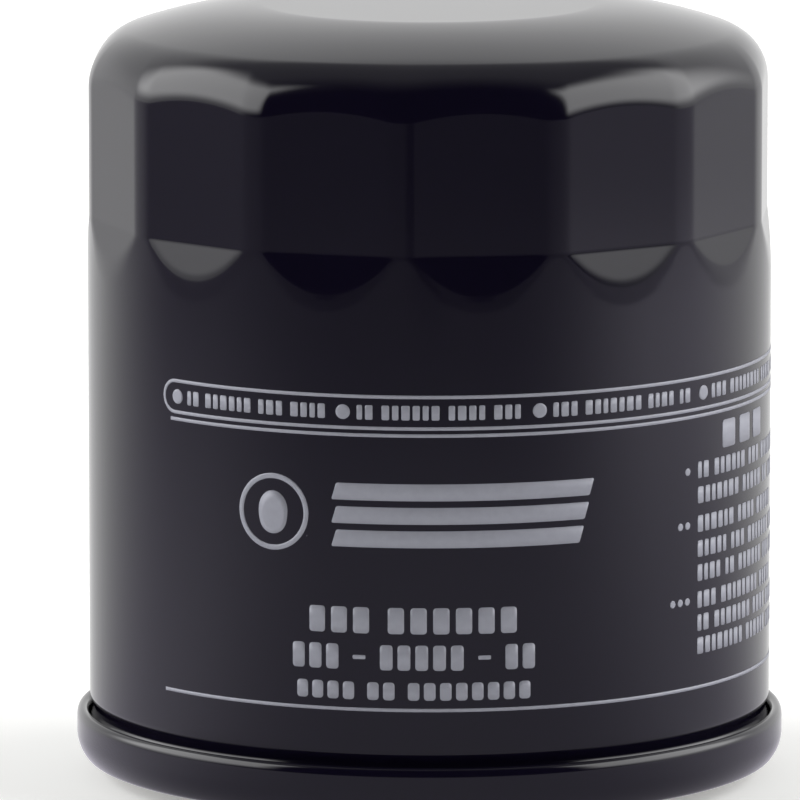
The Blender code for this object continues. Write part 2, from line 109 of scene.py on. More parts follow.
def welded(name: str, parts: Sequence[tuple[Grid, np.ndarray]], sharp: float = 35.0) -> Piece:
    """Makes one object from surfaces whose edges meet, with coincident points joined.

    Args:
        name: Name of the piece.
        parts: Points in millimetres, and quads that number them, for each surface.
        sharp: Edges that turn by more than this angle, in degrees, are shaded sharp.

    Returns:
        The object, at the origin, with its faces pointing outwards.
    """
    starts = np.cumsum([0] + [points.size // 3 for points, _ in parts[:-1]])
    points = np.concatenate([points.reshape(-1, 3) for points, _ in parts]) * MM
    quads = np.concatenate([quads + start for (_, quads), start in zip(parts, starts)])
    mesh = bpy.data.meshes.new(name)
    mesh.from_pydata(points.tolist(), [], quads.tolist())
    shell = bmesh.new()
    shell.from_mesh(mesh)
    bmesh.ops.remove_doubles(shell, verts=shell.verts, dist=WELD)
    if all(len(edge.link_faces) == 2 for edge in shell.edges):
        bmesh.ops.recalc_face_normals(shell, faces=shell.faces)
        if shell.calc_volume(signed=True) < 0:
            bmesh.ops.reverse_faces(shell, faces=shell.faces)
    shell.to_mesh(mesh)
    shell.free()
    mesh.shade_smooth()
    mesh.set_sharp_from_angle(angle=math.radians(sharp))
    piece = bpy.data.objects.new(name, mesh)
    bpy.context.scene.collection.objects.link(piece)
    return piece


def skin(name: str, grid: Grid, loop: bool = True, sharp: float = 35.0) -> Piece:
    """Makes an object from a grid whose columns close into rings.

    Args:
        name: Name of the piece.
        grid: Points, as rows by columns by three.
        loop: Whether the last row joins the first, as round a torus. Without it, the end rows
            are expected to be poles, each with all its points in one place.
        sharp: Edges that turn by more than this angle, in degrees, are shaded sharp.

    Returns:
        The closed object.
    """
    return welded(name, [(grid, grid_quads(*grid.shape[:2], loop, True))], sharp)


def revolved(radius: Grid, height: Grid, angles: Grid) -> Grid:
    """Points at these radii and heights, turned to these angles about Z; the arrays broadcast."""
    radius, height, angles = np.broadcast_arrays(radius, height, angles)
    return np.stack([radius * np.cos(angles), radius * np.sin(angles), height], axis=-1)


def turned(name: str, outline: Grid, columns: int = 144, loop: bool = True) -> Piece:
    """Makes a turned object: each point of a closed outline carried round Z.

    Args:
        name: Name of the piece.
        outline: Radius and height of each point.
        columns: Number of points round the axis.
        loop: False where the outline starts and ends on the axis.

    Returns:
        The closed object.
    """
    angles = np.arange(columns) * TAU / columns
    return skin(name, revolved(outline[:, :1], outline[:, 1:], angles[None, :]), loop)


def rounded(corners: Sequence[tuple[float, float, float]], closed: bool = True, spans: int = 5) -> Grid:
    """Rounds the corners of an outline.

    Each corner becomes a true arc, tangent to both of its sides, as the rational Bezier curve
    whose middle weight is the sine of half the corner's angle.

    Args:
        corners: Two coordinates and a fillet radius for each corner.
        closed: Whether the last corner joins the first.
        spans: Number of straight steps in each arc.

    Returns:
        The outline's points, one row each, without repeats.
    """
    data = np.array(corners, float)
    places, fillets = data[:, :2], data[:, 2].copy()
    if not closed:
        fillets[[0, -1]] = 0
    back = np.roll(places, 1, axis=0) - places
    ahead = np.roll(places, -1, axis=0) - places
    lengths = np.linalg.norm(back, axis=1), np.linalg.norm(ahead, axis=1)
    back /= lengths[0][:, None]
    ahead /= lengths[1][:, None]
    half = np.arccos(np.clip((back * ahead).sum(axis=1), -1, 1)) / 2
    reach = np.minimum(fillets / np.tan(half), 0.49 * np.minimum(*lengths))
    weight = np.sin(half)[:, None, None]
    start = (places + back * reach[:, None])[:, None]
    end = (places + ahead * reach[:, None])[:, None]
    step = np.linspace(0, 1, spans + 1)[None, :, None]
    parts = (1 - step) ** 2, 2 * step * (1 - step) * weight, step**2
    arcs = (parts[0] * start + parts[1] * places[:, None] + parts[2] * end) / sum(parts)
    points = arcs.reshape(-1, 2)
    gaps = np.linalg.norm(points - np.roll(points, 1, axis=0), axis=1)
    if not closed:
        gaps[0] = 1
    return points[gaps > 1e-6]


def sheet(midline: Grid, thickness: float) -> Grid:
    """Gives a bent sheet's middle line its thickness and round edges.

    The outline is the middle line moved by half the thickness along its normal, out on one side
    and back on the other, with a half circle at each end.

    Args:
        midline: Points of the middle line, one row each.
        thickness: Thickness of the sheet.

    Returns:
        The closed outline.
    """
    along = np.gradient(midline, axis=0)
    along /= np.linalg.norm(along, axis=1)[:, None]
    normal = np.stack([-along[:, 1], along[:, 0]], axis=1) * thickness / 2
    turn = np.linspace(0, math.pi, 6)[1:-1, None]
    far = midline[-1] + normal[-1] * np.cos(turn) + along[-1] * np.sin(turn) * thickness / 2
    near = midline[0] - normal[0] * np.cos(turn) - along[0] * np.sin(turn) * thickness / 2
    return np.concatenate([midline + normal, far, (midline - normal)[::-1], near])


def wire(name: str, path: Grid, diameter: float, sides: int = 12) -> Piece:
    """Makes a round wire: a circle carried along a path, with domed ends.

    Args:
        name: Name of the piece.
        path: Points of the middle line, one row each.
        diameter: Diameter of the wire.
        sides: Number of points round the wire.

    Returns:
        The closed object.
    """
    along = np.gradient(path, axis=0)
    along /= np.linalg.norm(along, axis=1)[:, None]
    upright = np.array([0.0, 0.0, 1.0])
    across = np.cross(along, upright)
    across /= np.linalg.norm(across, axis=1)[:, None]
    up = np.cross(across, along)
    dome = np.linspace(0, 1, 5)
    swell = np.sqrt(1 - (1 - dome) ** 2)
    head = path[0] - along[0] * diameter / 2 * (1 - dome[:, None])
    tail = path[-1] + along[-1] * diameter / 2 * dome[:, None]
    centres = np.concatenate([head, path[1:-1], tail])
    swells = np.concatenate([swell, np.ones(len(path) - 2), swell[::-1]])
    place = np.clip(np.arange(len(centres)) - len(dome) + 1, 0, len(path) - 1)
    turn = np.arange(sides)[None, :, None] * TAU / sides
    ring = across[place, None] * np.cos(turn) + up[place, None] * np.sin(turn)
    grid = centres[:, None] + ring * swells[:, None, None] * diameter / 2
    return skin(name, grid, loop=False, sharp=60)


def coil(radii: tuple[float, float], levels: tuple[float, float], turns: float, rest: float) -> Grid:
    """Middle line of a coil spring whose end turns lie flat.

    The radius changes evenly along the coil. The height stays level over the resting part of
    each end and rises evenly between them.

    Args:
        radii: Radius at the low and the high end.
        levels: Height at the low and the high end.
        turns: Number of turns.
        rest: Turns that lie flat at each end.

    Returns:
        Points of the middle line, 48 to a turn.
    """
    share = np.linspace(0, 1, int(turns * 48) + 1)
    rise = np.clip((share * turns - rest) / (turns - 2 * rest), 0, 1)
    radius = radii[0] + (radii[1] - radii[0]) * share
    return revolved(radius, levels[0] + (levels[1] - levels[0]) * rise, share * turns * TAU)


# ---- materials ---------------------------------------------------------------------------------
def linear(code: str) -> tuple[float, float, float, float]:
    """Linear RGBA of an sRGB colour such as #1a2b3c."""
    parts = [int(code[i : i + 2], 16) / 255 for i in (1, 3, 5)]
    values = [c / 12.92 if c <= 0.04045 else ((c + 0.055) / 1.055) ** 2.4 for c in parts]
    return (*values, 1.0)


def add_node(
    tree: Tree,
    kind: str,
    settings: dict[str | int, Any] | None = None,
    links: dict[str | int, Socket] | None = None,
) -> Node:
    """Adds a node with its settings and links.

    Args:
        tree: Node tree that gets the node.
        kind: Type of node, without the ShaderNode at its front.
        settings: Values by property name, or by the name or number of an input. The names of
            inputs start with a capital letter.
        links: Output sockets by the name or number of the input that each one feeds.

    Returns:
        The new node.
    """
    node = tree.nodes.new(f"ShaderNode{kind}")
    for key, value in (settings or {}).items():
        if isinstance(key, int) or key[0].isupper():
            node.inputs[key].default_value = value
        else:
            setattr(node, key, value)
    for key, socket in (links or {}).items():
        tree.links.new(socket, node.inputs[key])
    return node


def per_mm(size: float) -> float:
    """Texture scale, in object coordinates, of a pattern that repeats at this size in millimetres."""
    return 1 / (size * MM)


@dataclass(frozen=True)
class Finish:
    """What every finish has: a name, and a Principled shader on object coordinates."""

    name: str

    def start(self) -> tuple[Material, Tree, Node, Socket]:
        """A new material, its node tree, its shader and its object coordinates."""
        made = bpy.data.materials.new(self.name)
        made.use_nodes = True
        tree = made.node_tree
        place = add_node(tree, "TexCoord").outputs["Object"]
        return made, tree, tree.nodes["Principled BSDF"], place

    def noise(self, tree: Tree, place: Socket, size: float, detail: float, **more: float) -> Socket:
        """Noise from 0 to 1, with features of this size in millimetres."""
        settings = {"Scale": per_mm(size), "Detail": detail, **more}
        return add_node(tree, "TexNoise", settings, {"Vector": place}).outputs["Fac"]

    def tinted(self, tree: Tree, share: Socket, first: str, second: str) -> Socket:
        """The first colour, mixed with this share of the second."""
        colours = {"data_type": "RGBA", 6: linear(first), 7: linear(second)}
        return add_node(tree, "Mix", colours, {0: share}).outputs[2]

    def between(self, tree: Tree, share: Socket, low: float, high: float) -> Socket:
        """A value between two limits, by a share from 0 to 1."""
        return add_node(tree, "MapRange", {"To Min": low, "To Max": high}, {"Value": share}).outputs[0]

    def relief(self, tree: Tree, height: Socket, depth: float) -> Socket:
        """The normal of a relief of this depth in millimetres."""
        return add_node(tree, "Bump", {"Distance": depth * MM}, {"Height": height}).outputs[0]

    def feed(self, tree: Tree, shader: Node, sockets: dict[str, Socket]) -> None:
        """Links each socket to the shader's input of that name."""
        for name, socket in sockets.items():
            tree.links.new(socket, shader.inputs[name])


@dataclass(frozen=True)
class StovingEnamel(Finish):
    """Gloss black stoving enamel, sprayed on steel and baked.

    It flows out nearly flat, so it mirrors the room sharply and only waves a little, as orange
    peel. Its black leans to navy. A few specks of dust lie on it.
    """

    colour: str = "#0b0816"
    speck: str = "#8b8b92"
    ior: float = 1.5
    roughness: float = 0.085
    haze_size: float = 14.0
    peel_size: float = 1.6
    peel_depth: float = 0.0012
    speck_cell: float = 7.0
    speck_radius: float = 0.085
    speck_share: float = 0.45
    speck_cover: float = 0.8

    def paint(self, tree: Tree, shader: Node, place: Socket) -> dict[str, Socket]:
        """Builds the enamel's colour, roughness and relief.

        Args:
            tree: Node tree of the material.
            shader: Principled shader, which gets the enamel's fixed values.
            place: Object coordinates.

        Returns:
            Sockets by the name of the shader's input.
        """
        shader.inputs["IOR"].default_value = self.ior
        grid = {"Scale": per_mm(self.speck_cell), "Randomness": 1.0}
        cells = add_node(tree, "TexVoronoi", grid, {"Vector": place})
        some = {"operation": "LESS_THAN", 1: self.speck_share}
        chosen = add_node(tree, "Math", some, {0: cells.outputs["Color"]})
        edge = {"From Min": self.speck_radius / self.speck_cell, "From Max": 0.0}
        fall = {**edge, "To Max": self.speck_cover}
        near = add_node(tree, "MapRange", fall, {"Value": cells.outputs["Distance"]})
        dust = add_node(tree, "Math", {"operation": "MULTIPLY"}, {0: near.outputs[0], 1: chosen.outputs[0]})
        haze = self.noise(tree, place, self.haze_size, 3.0)
        peel = self.noise(tree, place, self.peel_size, 1.0)
        return {
            "Base Color": self.tinted(tree, dust.outputs[0], self.colour, self.speck),
            "Roughness": self.between(tree, haze, self.roughness * 0.8, self.roughness * 1.2),
            "Normal": self.relief(tree, peel, self.peel_depth),
        }

    def material(self) -> Material:
        """The enamel as a material."""
        made, tree, shader, place = self.start()
        self.feed(tree, shader, self.paint(tree, shader, place))
        return made


@dataclass(frozen=True)
class SeamEnamel(StovingEnamel):
    """The same enamel on the cover plate, sprayed from outside: it thins to bare plate inside.

    Overspray fades towards the axis over a ragged ring, as it does where the gasket channel was
    masked.
    """

    plate: str = "#b9b6ab"
    plate_roughness: tuple[float, float] = (0.24, 0.42)
    masked_radius: float = 35.2
    fade: float = 0.7

    def material(self) -> Material:
        """The enamel over plated steel as a material."""
        made, tree, shader, place = self.start()
        enamel = self.paint(tree, shader, place)
        flat = add_node(tree, "VectorMath", {"operation": "MULTIPLY", 1: (1, 1, 0)}, {0: place})
        radius = add_node(tree, "VectorMath", {"operation": "LENGTH"}, {0: flat.outputs[0]})
        sockets = {0: self.noise(tree, place, 1.5, 4.0), 2: radius.outputs["Value"]}
        ragged = add_node(tree, "Math", {"operation": "MULTIPLY_ADD", 1: self.fade * MM}, sockets)
        limits = {"From Min": self.masked_radius * MM, "From Max": (self.masked_radius + self.fade) * MM}
        smooth = {"interpolation_type": "SMOOTHSTEP", **limits}
        cover = add_node(tree, "MapRange", smooth, {"Value": ragged.outputs[0]}).outputs[0]
        grain = self.between(tree, self.noise(tree, place, 0.5, 2.0), *self.plate_roughness)
        plate = {"data_type": "RGBA", 6: linear(self.plate)}
        colour = add_node(tree, "Mix", plate, {0: cover, 7: enamel["Base Color"]}).outputs[2]
        rough = add_node(tree, "Mix", {}, {0: cover, 2: grain, 3: enamel["Roughness"]}).outputs[0]
        bare = add_node(tree, "Math", {"operation": "SUBTRACT", 0: 1.0}, {1: cover}).outputs[0]
        over = {"Base Color": colour, "Roughness": rough, "Metallic": bare}
        self.feed(tree, shader, {**enamel, **over})
        return made


@dataclass(frozen=True)
class ScreenInk(Finish):
    """Silver-grey screen ink on enamel: a matt film with aluminium flake, a little uneven."""

    light: str = "#9a9ba6"
    dark: str = "#8d8e98"
    mottle: float = 0.8
    flake: float = 0.15
    roughness: tuple[float, float] = (0.4, 0.55)

    def material(self) -> Material:
        """The ink as a material."""
        made, tree, shader, place = self.start()
        cloud = self.noise(tree, place, self.mottle, 3.0)
        colour = self.tinted(tree, cloud, self.dark, self.light)
        rough = self.between(tree, cloud, *self.roughness)
        self.feed(tree, shader, {"Base Color": colour, "Roughness": rough})
        shader.inputs["Metallic"].default_value = self.flake
        return made


class Plating(Enum):
    """Colours of a steel surface: the lighter and the darker shade of its mottling."""

    ZINC = ("#c4c1b4", "#a29f92")
    TIN = ("#c9c9c6", "#aeaeab")
    PLAIN = ("#8f8f90", "#6d6d70")


@dataclass(frozen=True)
class SteelSurface(Finish):
    """Plated or plain steel, as pressed, turned or drawn.

    Plating mottles softly, and the tool leaves fine rings round the axis, which spread each
    reflection along them.
    """

    plating: Plating = Plating.TIN
    roughness: float = 0.3
    ring_size: float = 0.35
    ring_depth: float = 0.002
    mottle: float = 2.5

    def material(self) -> Material:
        """The steel as a material."""
        made, tree, shader, place = self.start()
        light, dark = self.plating.value
        cloud = self.noise(tree, place, self.mottle, 5.0)
        scale = {"Scale": per_mm(self.ring_size) / TAU / 3, "Distortion": 1.5, "Detail": 2.0}
        about = {"wave_type": "RINGS", "rings_direction": "Z"}
        rings = add_node(tree, "TexWave", {**about, **scale}, {"Vector": place}).outputs["Fac"]
        rough = self.between(tree, cloud, self.roughness * 0.75, self.roughness * 1.3)
        colour, normal = self.tinted(tree, cloud, dark, light), self.relief(tree, rings, self.ring_depth)
        self.feed(tree, shader, {"Base Color": colour, "Roughness": rough, "Normal": normal})
        shader.inputs["Metallic"].default_value = 1.0
        return made


@dataclass(frozen=True)
class Moulded(Finish):
    """Moulded rubber or plastic: a fine matt grain from the tool, with cloudy colour."""

    colour: str = "#131314"
    cloud_colour: str = "#1d1d1e"
    roughness: float = 0.5
    cloud_size: float = 6.0
    grain: float = 0.25
    grain_depth: float = 0.006

    def material(self) -> Material:
        """The moulding as a material."""
        made, tree, shader, place = self.start()
        cloud = self.noise(tree, place, self.cloud_size, 4.0)
        colour = self.tinted(tree, cloud, self.colour, self.cloud_colour)
        rough = self.between(tree, cloud, self.roughness * 0.85, self.roughness * 1.15)
        normal = self.relief(tree, self.noise(tree, place, self.grain, 2.0), self.grain_depth)
        self.feed(tree, shader, {"Base Color": colour, "Roughness": rough, "Normal": normal})
        return made


@dataclass(frozen=True)
class FilterPaper(Finish):
    """Resin-impregnated cellulose: a felt of short fibres, straw-coloured and dull."""

    light: str = "#d9bd84"
    dark: str = "#b8935a"
    roughness: float = 0.88
    fibre: float = 0.35
    fibre_depth: float = 0.03

    def material(self) -> Material:
        """The paper as a material."""
        made, tree, shader, place = self.start()
        fibres = self.noise(tree, place, self.fibre, 6.0, Roughness=0.65, Distortion=1.2)
        colour = self.tinted(tree, fibres, self.dark, self.light)
        normal = self.relief(tree, fibres, self.fibre_depth)
        self.feed(tree, shader, {"Base Color": colour, "Normal": normal})
        shader.inputs["Roughness"].default_value = self.roughness
        return made


def dress(piece: Piece, finish: Finish, slot: str, body: str, *nodes: str) -> Piece:
    """Gives a finished piece its material and its place in the frame.

    Args:
        piece: The piece, with its final mesh.
        finish: Its finish.
        slot: The record's material slot; not used.
        body: The body that it rides on.
        nodes: CAD nodes that it stands for.

    Returns:
        The piece.
    """
    piece.data.materials.clear()
    piece.data.materials.append(finish.material())
    if nodes:
        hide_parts(*nodes)
    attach(piece, body)
    log.info("%s: %d faces, rides on %s", piece.name, len(piece.data.polygons), body)
    return piece


# ---- the can -----------------------------------------------------------------------------------
@dataclass
class DoubleSeam:
    """The fold that joins can and cover: a middle line with the sheets beside it."""

    middle_radius: float = 37.28
    gap: float = 0.09
    sheet: float = SHEET
    bend_high: float = 4.6
    bend_radius: float = 2.9
    bend: float = math.radians(38)

    @property
    def can_offset(self) -> float:
        """From the middle line to the can's outer face."""
        return self.gap + self.sheet / 2

    @property
    def cover_offset(self) -> float:
        """From the middle line to the middle of the cover's sheet."""
        return self.can_offset + self.sheet + self.gap + self.sheet / 2

    def line(self, offset: float, high: float, spans: int = 8) -> Grid:
        """Points beside the middle line, down from a height to where the sheet folds back.

        The line is straight down to the bend, then an arc that curls towards the axis; an offset
        moves each point along the normal.

        Args:
            offset: Distance from the middle line, positive outwards.
            high: Height of the first point.
            spans: Number of steps in the bend.

        Returns:
            Radius and height of each point.
        """
        turn = np.linspace(0, self.bend, spans + 1)
        reach = self.bend_radius + offset
        centre = self.middle_radius - self.bend_radius
        curl = np.stack([centre + reach * np.cos(turn), self.bend_high - reach * np.sin(turn)], axis=1)
        return np.concatenate([[[self.middle_radius + offset, high]], curl])

    def fold(self, radius: float, spans: int = 10) -> Grid:
        """Half circle round the foot of the fold, from its inner to its outer side."""
        turn = -self.bend - math.pi + np.linspace(0, math.pi, spans + 1)[1:-1]
        centre_r = self.middle_radius - self.bend_radius * (1 - math.cos(self.bend))
        centre_z = self.bend_high - self.bend_radius * math.sin(self.bend)
        return np.stack([centre_r + radius * np.cos(turn), centre_z + radius * np.sin(turn)], axis=1)


@dataclass
class CanShell:
    """The deep-drawn can: domed crown, fourteen pressed wrench flats and a plain wall."""

    seam: DoubleSeam
    radius: float = 37.0
    crown_radius: float = 18.2
    dome_radius: float = 56.0
    dome_start: float = math.radians(3)
    dome_end: float = math.radians(18)
    flats: int = 14
    flat_phase: float = math.radians(8.45)
    apothem: float = 36.30
    corner_fillet: float = 7.0
    edge_blend: float = 0.12
    foot_blend: float = 0.3
    flat_low: float = 61.4
    runout: float = 4.35
    crease: float = 0.2
    neck_high: float = 8.9
    neck_middle: float = 7.2
    neck_low: float = 6.0
    neck_depth: float = 0.5
    hook_high: float = 5.7
    edge_share: float = 0.78
    crown_edge: float = 0.12
    crease_rows: float = 0.5
    slope_low: float = 54.0
    plain_high: float = 52.6
    plain_low: float = 9.9

    def directions(self) -> Grid:
        """One row of directions about Z, from the front, closer together at each flat's edges."""
        corner = math.pi / self.flats
        edge = corner * self.edge_share
        inside = np.linspace(0, edge, 14)
        half = np.concatenate([inside, np.linspace(edge, corner, 9)[1:-1]])
        flat = np.concatenate([[-corner], -half[:0:-1], half])
        middles = self.flat_phase + np.arange(self.flats) * 2 * corner
        return (middles[:, None] + flat[None, :]).reshape(1, -1)

    def wall(self, angle: Grid, height: Grid) -> Grid:
        """Radius of the wall: the lesser of the cylinder and the flats, which lean out below.

        A flat's radius is its distance from the axis over the cosine of the angle from its
        middle. An arc joins two flats at a corner, where the radius is that at which the ray
        leaves the arc's circle. Flats and cylinder are blended by a quadratic, as a soft minimum
        is: narrow at the crease, and wider towards the foot of each run-out. Above the seam the
        wall is necked in by a groove with the shape of a squared cosine.

        Args:
            angle: Directions about Z, from the front.
            height: Heights; broadcasts with the angles.

        Returns:
            The radius at each point.
        """
        pitch = TAU / self.flats
        off = (angle - self.flat_phase + pitch / 2) % pitch - pitch / 2
        below = self.flat_low - height
        blend = np.clip(0.5 + 0.5 * below / self.crease, 0, 1)
        depth = below * blend + self.crease * blend * (1 - blend)
        slope = (self.radius - self.apothem) / self.runout
        apothem = self.apothem + slope * depth
        centre = (apothem - self.corner_fillet) / math.cos(pitch / 2)
        aside = np.abs(off) - pitch / 2
        arc = np.sqrt(np.maximum(self.corner_fillet**2 - (centre * np.sin(aside)) ** 2, 0))
        tangent = np.arctan((apothem - self.corner_fillet) * math.tan(pitch / 2) / apothem)
        corner = centre * np.cos(aside) + arc
        flat = np.where(np.abs(off) > tangent, corner, apothem / np.cos(off))
        foot = np.clip(depth / self.runout, 0, 1)
        width = self.edge_blend + (self.foot_blend - self.edge_blend) * foot**2
        mix = np.clip(0.5 + 0.5 * (flat - self.radius) / width, 0, 1)
        pressed = flat + (self.radius - flat) * mix - width * mix * (1 - mix)
        above = (height - self.neck_middle) / (self.neck_high - self.neck_middle)
        under = (self.neck_middle - height) / (self.neck_middle - self.neck_low)
        neck = np.cos(math.pi / 2 * np.clip(np.maximum(above, under), 0, 1)) ** 2
        return pressed - self.neck_depth * neck

    def surface(self, angle: Grid, inset: float, coarse: int) -> tuple[Grid, Grid]:
        """Radii and heights of the can's skin, from the crown's middle down to the seam.

        The crown is flat, the dome is one arc, and in each direction the shoulder is the arc
        that is tangent to the dome's end and to the upright wall there. The inner skin is the
        same surface moved inwards by the sheet's thickness.

        Args:
            angle: One row of directions about Z, from the front.
            inset: Distance inwards from the outer skin.
            coarse: Divides the number of rows.

        Returns:
            Two grids, rows by directions.
        """
        level = np.zeros_like(angle)
        top = heights("can_shell")[1]
        crown = np.linspace(0, self.crown_radius - self.crown_edge, 6 // coarse + 1)[:, None] + level
        slope = np.linspace(self.dome_start, self.dome_end, 12 // coarse + 1)[:, None] + level
        centre_r = self.crown_radius - self.dome_radius * math.sin(self.dome_start)
        centre_z = top - self.dome_radius * math.cos(self.dome_start)
        reach = self.dome_radius - inset
        end_r = centre_r + self.dome_radius * math.sin(self.dome_end)
        end_z = centre_z + self.dome_radius * math.cos(self.dome_end)
        upper = self.wall(angle, level + top)
        bend = (upper - end_r) / (1 - math.sin(self.dome_end))
        middle_r = end_r - bend * math.sin(self.dome_end)
        middle_z = end_z - bend * math.cos(self.dome_end)
        tilt = np.linspace(self.dome_end, math.pi / 2, 20 // coarse + 1)[1:, None]
        start = self.flat_low + self.crease_rows
        panel_z = middle_z + (start - middle_z) * np.linspace(0, 1, 7 // coarse + 2)[1:-1, None]
        fine = np.linspace(start, self.flat_low - self.crease_rows, 12 // coarse)
        sloping = np.linspace(fine[-1] - 0.2, self.slope_low, 32 // coarse)
        plain = np.linspace(self.plain_high, self.plain_low, 5 // coarse + 1)
        neck = np.linspace(self.neck_high, self.neck_low, 13 // coarse)
        low_z = np.concatenate([fine, sloping, plain, neck])[:, None] + level
        radii = [
            crown,
            centre_r + reach * np.sin(slope),
            middle_r + (bend - inset) * np.sin(tilt),
            upper - inset + 0 * panel_z,
            self.wall(angle, low_z) - inset,
        ]
        levels = [
            0 * crown + top - inset,
            centre_z + reach * np.cos(slope),
            middle_z + (bend - inset) * np.cos(tilt),
            panel_z,
            low_z,
        ]
        return np.concatenate(radii), np.concatenate(levels)

    def build(self, finish: Finish) -> Piece:
        """Builds the can: outer skin, the hook inside the seam, then the inner skin."""
        angle = self.directions()
        outer_r, outer_z = self.surface(angle, 0.0, 1)
        inner_r, inner_z = self.surface(angle, self.seam.sheet, 3)
        near, far = self.seam.can_offset, self.seam.can_offset + self.seam.sheet
        hook = np.concatenate(
            [
                self.seam.line(-near, self.hook_high, 5),
                self.seam.fold(near, 6),
                self.seam.line(near, self.hook_high, 5)[::-1],
                self.seam.line(far, self.hook_high, 5),
                self.seam.fold(far, 6)[::-1],
                self.seam.line(-far, self.hook_high, 5)[::-1],
            ]
        )
        radius = np.concatenate([outer_r, hook[:, :1] + 0 * angle, inner_r[::-1]])
        height = np.concatenate([outer_z, hook[:, 1:] + 0 * angle, inner_z[::-1]])
        piece = skin("can", revolved(radius, height, angle + FRONT), loop=False, sharp=50)
        return dress(piece, finish, "black_enamel_can", "housing", "can_shell")


